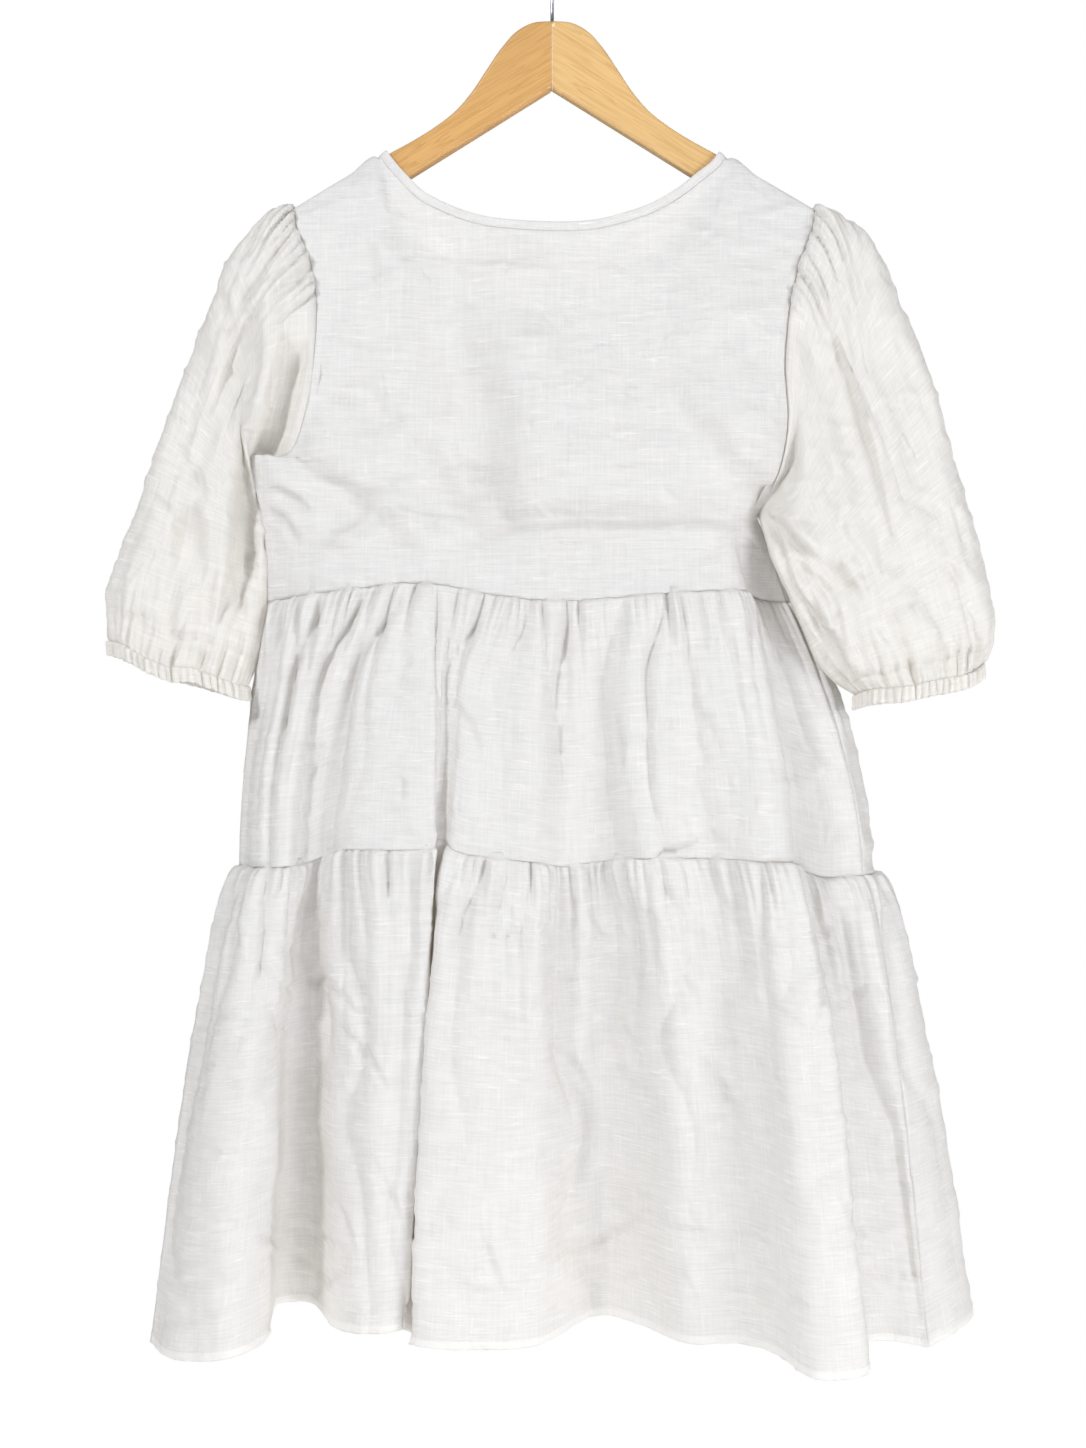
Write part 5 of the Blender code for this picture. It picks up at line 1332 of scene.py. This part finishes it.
def wire_material():
    """Drawn steel with fine streaks."""
    made = Nodes("steel_wire")
    place = made.add("ShaderNodeTexCoord").node.outputs["Object"]
    streaks = made.noise(made.stretched(place, (900.0, 900.0, 60.0)), 1.0, 2.0)
    made.link(made.blend(streaks, *STEEL_COLOURS), made.shader.inputs["Base Color"])
    made.shader.inputs["Metallic"].default_value = 1.0
    made.link(made.maths("ADD", made.maths("MULTIPLY", streaks, 0.2), 0.22), made.shader.inputs["Roughness"])
    return made.material


def make_camera():
    data = bpy.data.cameras.new("camera")
    data.sensor_fit = "VERTICAL"
    data.sensor_height = SENSOR
    data.lens = SENSOR * EYE_DISTANCE / FRAME_HEIGHT
    data.clip_end = 60
    camera = bpy.data.objects.new("camera", data)
    camera.location = (EYE_ACROSS * MM, -EYE_DISTANCE * MM, -EYE_DROP * MM)
    camera.rotation_euler = (math.pi / 2, 0, 0)
    bpy.context.scene.collection.objects.link(camera)
    bpy.context.scene.camera = camera


def area_light(name, place, width, power, colour):
    """A square lamp that faces the dress."""
    data = bpy.data.lights.new(name, "AREA")
    data.shape = "RECTANGLE"
    data.size = data.size_y = width
    data.energy = power
    data.color = colour
    light = bpy.data.objects.new(name, data)
    light.location = place
    step = np.subtract(LIGHTS_AIM, place)
    tilt = math.atan2(math.hypot(step[0], step[1]), -step[2])
    light.rotation_euler = (tilt, 0, math.atan2(-step[0], step[1]))
    bpy.context.scene.collection.objects.link(light)


def make_surroundings():
    """White to the camera, and a dimmer cool light on the dress."""
    world = bpy.data.worlds.new("surroundings")
    world.use_nodes = True
    nodes, links = world.node_tree.nodes, world.node_tree.links
    white = nodes["Background"]
    soft = nodes.new("ShaderNodeBackground")
    soft.inputs["Strength"].default_value = SURROUND
    path = nodes.new("ShaderNodeLightPath")
    mixed = nodes.new("ShaderNodeMixShader")
    white.inputs["Color"].default_value = (1, 1, 1, 1)
    soft.inputs["Color"].default_value = SURROUND_COLOUR
    links.new(path.outputs["Is Camera Ray"], mixed.inputs[0])
    links.new(soft.outputs[0], mixed.inputs[1])
    links.new(white.outputs[0], mixed.inputs[2])
    links.new(mixed.outputs[0], nodes["World Output"].inputs["Surface"])
    bpy.context.scene.world = world


def make_floor():
    corner = FLOOR_WIDTH / 2
    mesh = bpy.data.meshes.new("floor")
    corners = [(-corner, -corner, 0), (corner, -corner, 0), (corner, corner, 0), (-corner, corner, 0)]
    mesh.from_pydata(corners, [], [(0, 1, 2, 3)])
    floor = bpy.data.objects.new("floor", mesh)
    floor.location = (0, 0, -FLOOR_DROP)
    made = Nodes("pale_floor")
    made.shader.inputs["Base Color"].default_value = FLOOR_WHITE
    made.shader.inputs["Roughness"].default_value = 0.9
    made.shader.inputs["Emission Color"].default_value = (1, 1, 1, 1)
    made.shader.inputs["Emission Strength"].default_value = FLOOR_GLOW
    mesh.materials.append(made.material)
    bpy.context.scene.collection.objects.link(floor)


def make_stage():
    """A pale floor, white surroundings, and soft lamps at the left, the right, the front and the far side."""
    bpy.context.scene.view_settings.view_transform = "Standard"
    make_surroundings()
    make_floor()
    for name, row in LIGHTS.items():
        area_light(name, **dict(zip(LIGHT_COLUMNS, row)))


def main():
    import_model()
    make_camera()
    make_stage()
    materials = {
        "cloth": cloth_material("slub_linen", CLOTH_WHITE),
        "sleeve": cloth_material("slub_linen_sleeve", SLEEVE_WHITE),
        "thread": cloth_material("thread", CLOTH_WHITE, through=0.0),
        "wood_left": wood_material("left"),
        "wood_right": wood_material("right"),
        "wire": wire_material(),
    }
    yokes = {which: make_yoke(which, materials) for which in ("back", "front")}
    gap = np.array((0, 0, SEAM_GAP))
    for which in ("back", "front"):
        tier_seam = make_tier("tier1", which, yokes[which][-1] - gap, "tier", TIER1_WAVES, materials)
        make_tier("tier2", which, tier_seam - gap, "hem", TIER2_WAVES, materials, hem=True)
    for side in ("left", "right"):
        seam = make_sleeve(side, yokes, materials)
        make_cuff(side, seam, materials)
    make_binding(yokes, materials)
    for side in ("left", "right"):
        make_arm(side, materials)
    make_hook(materials)


main()
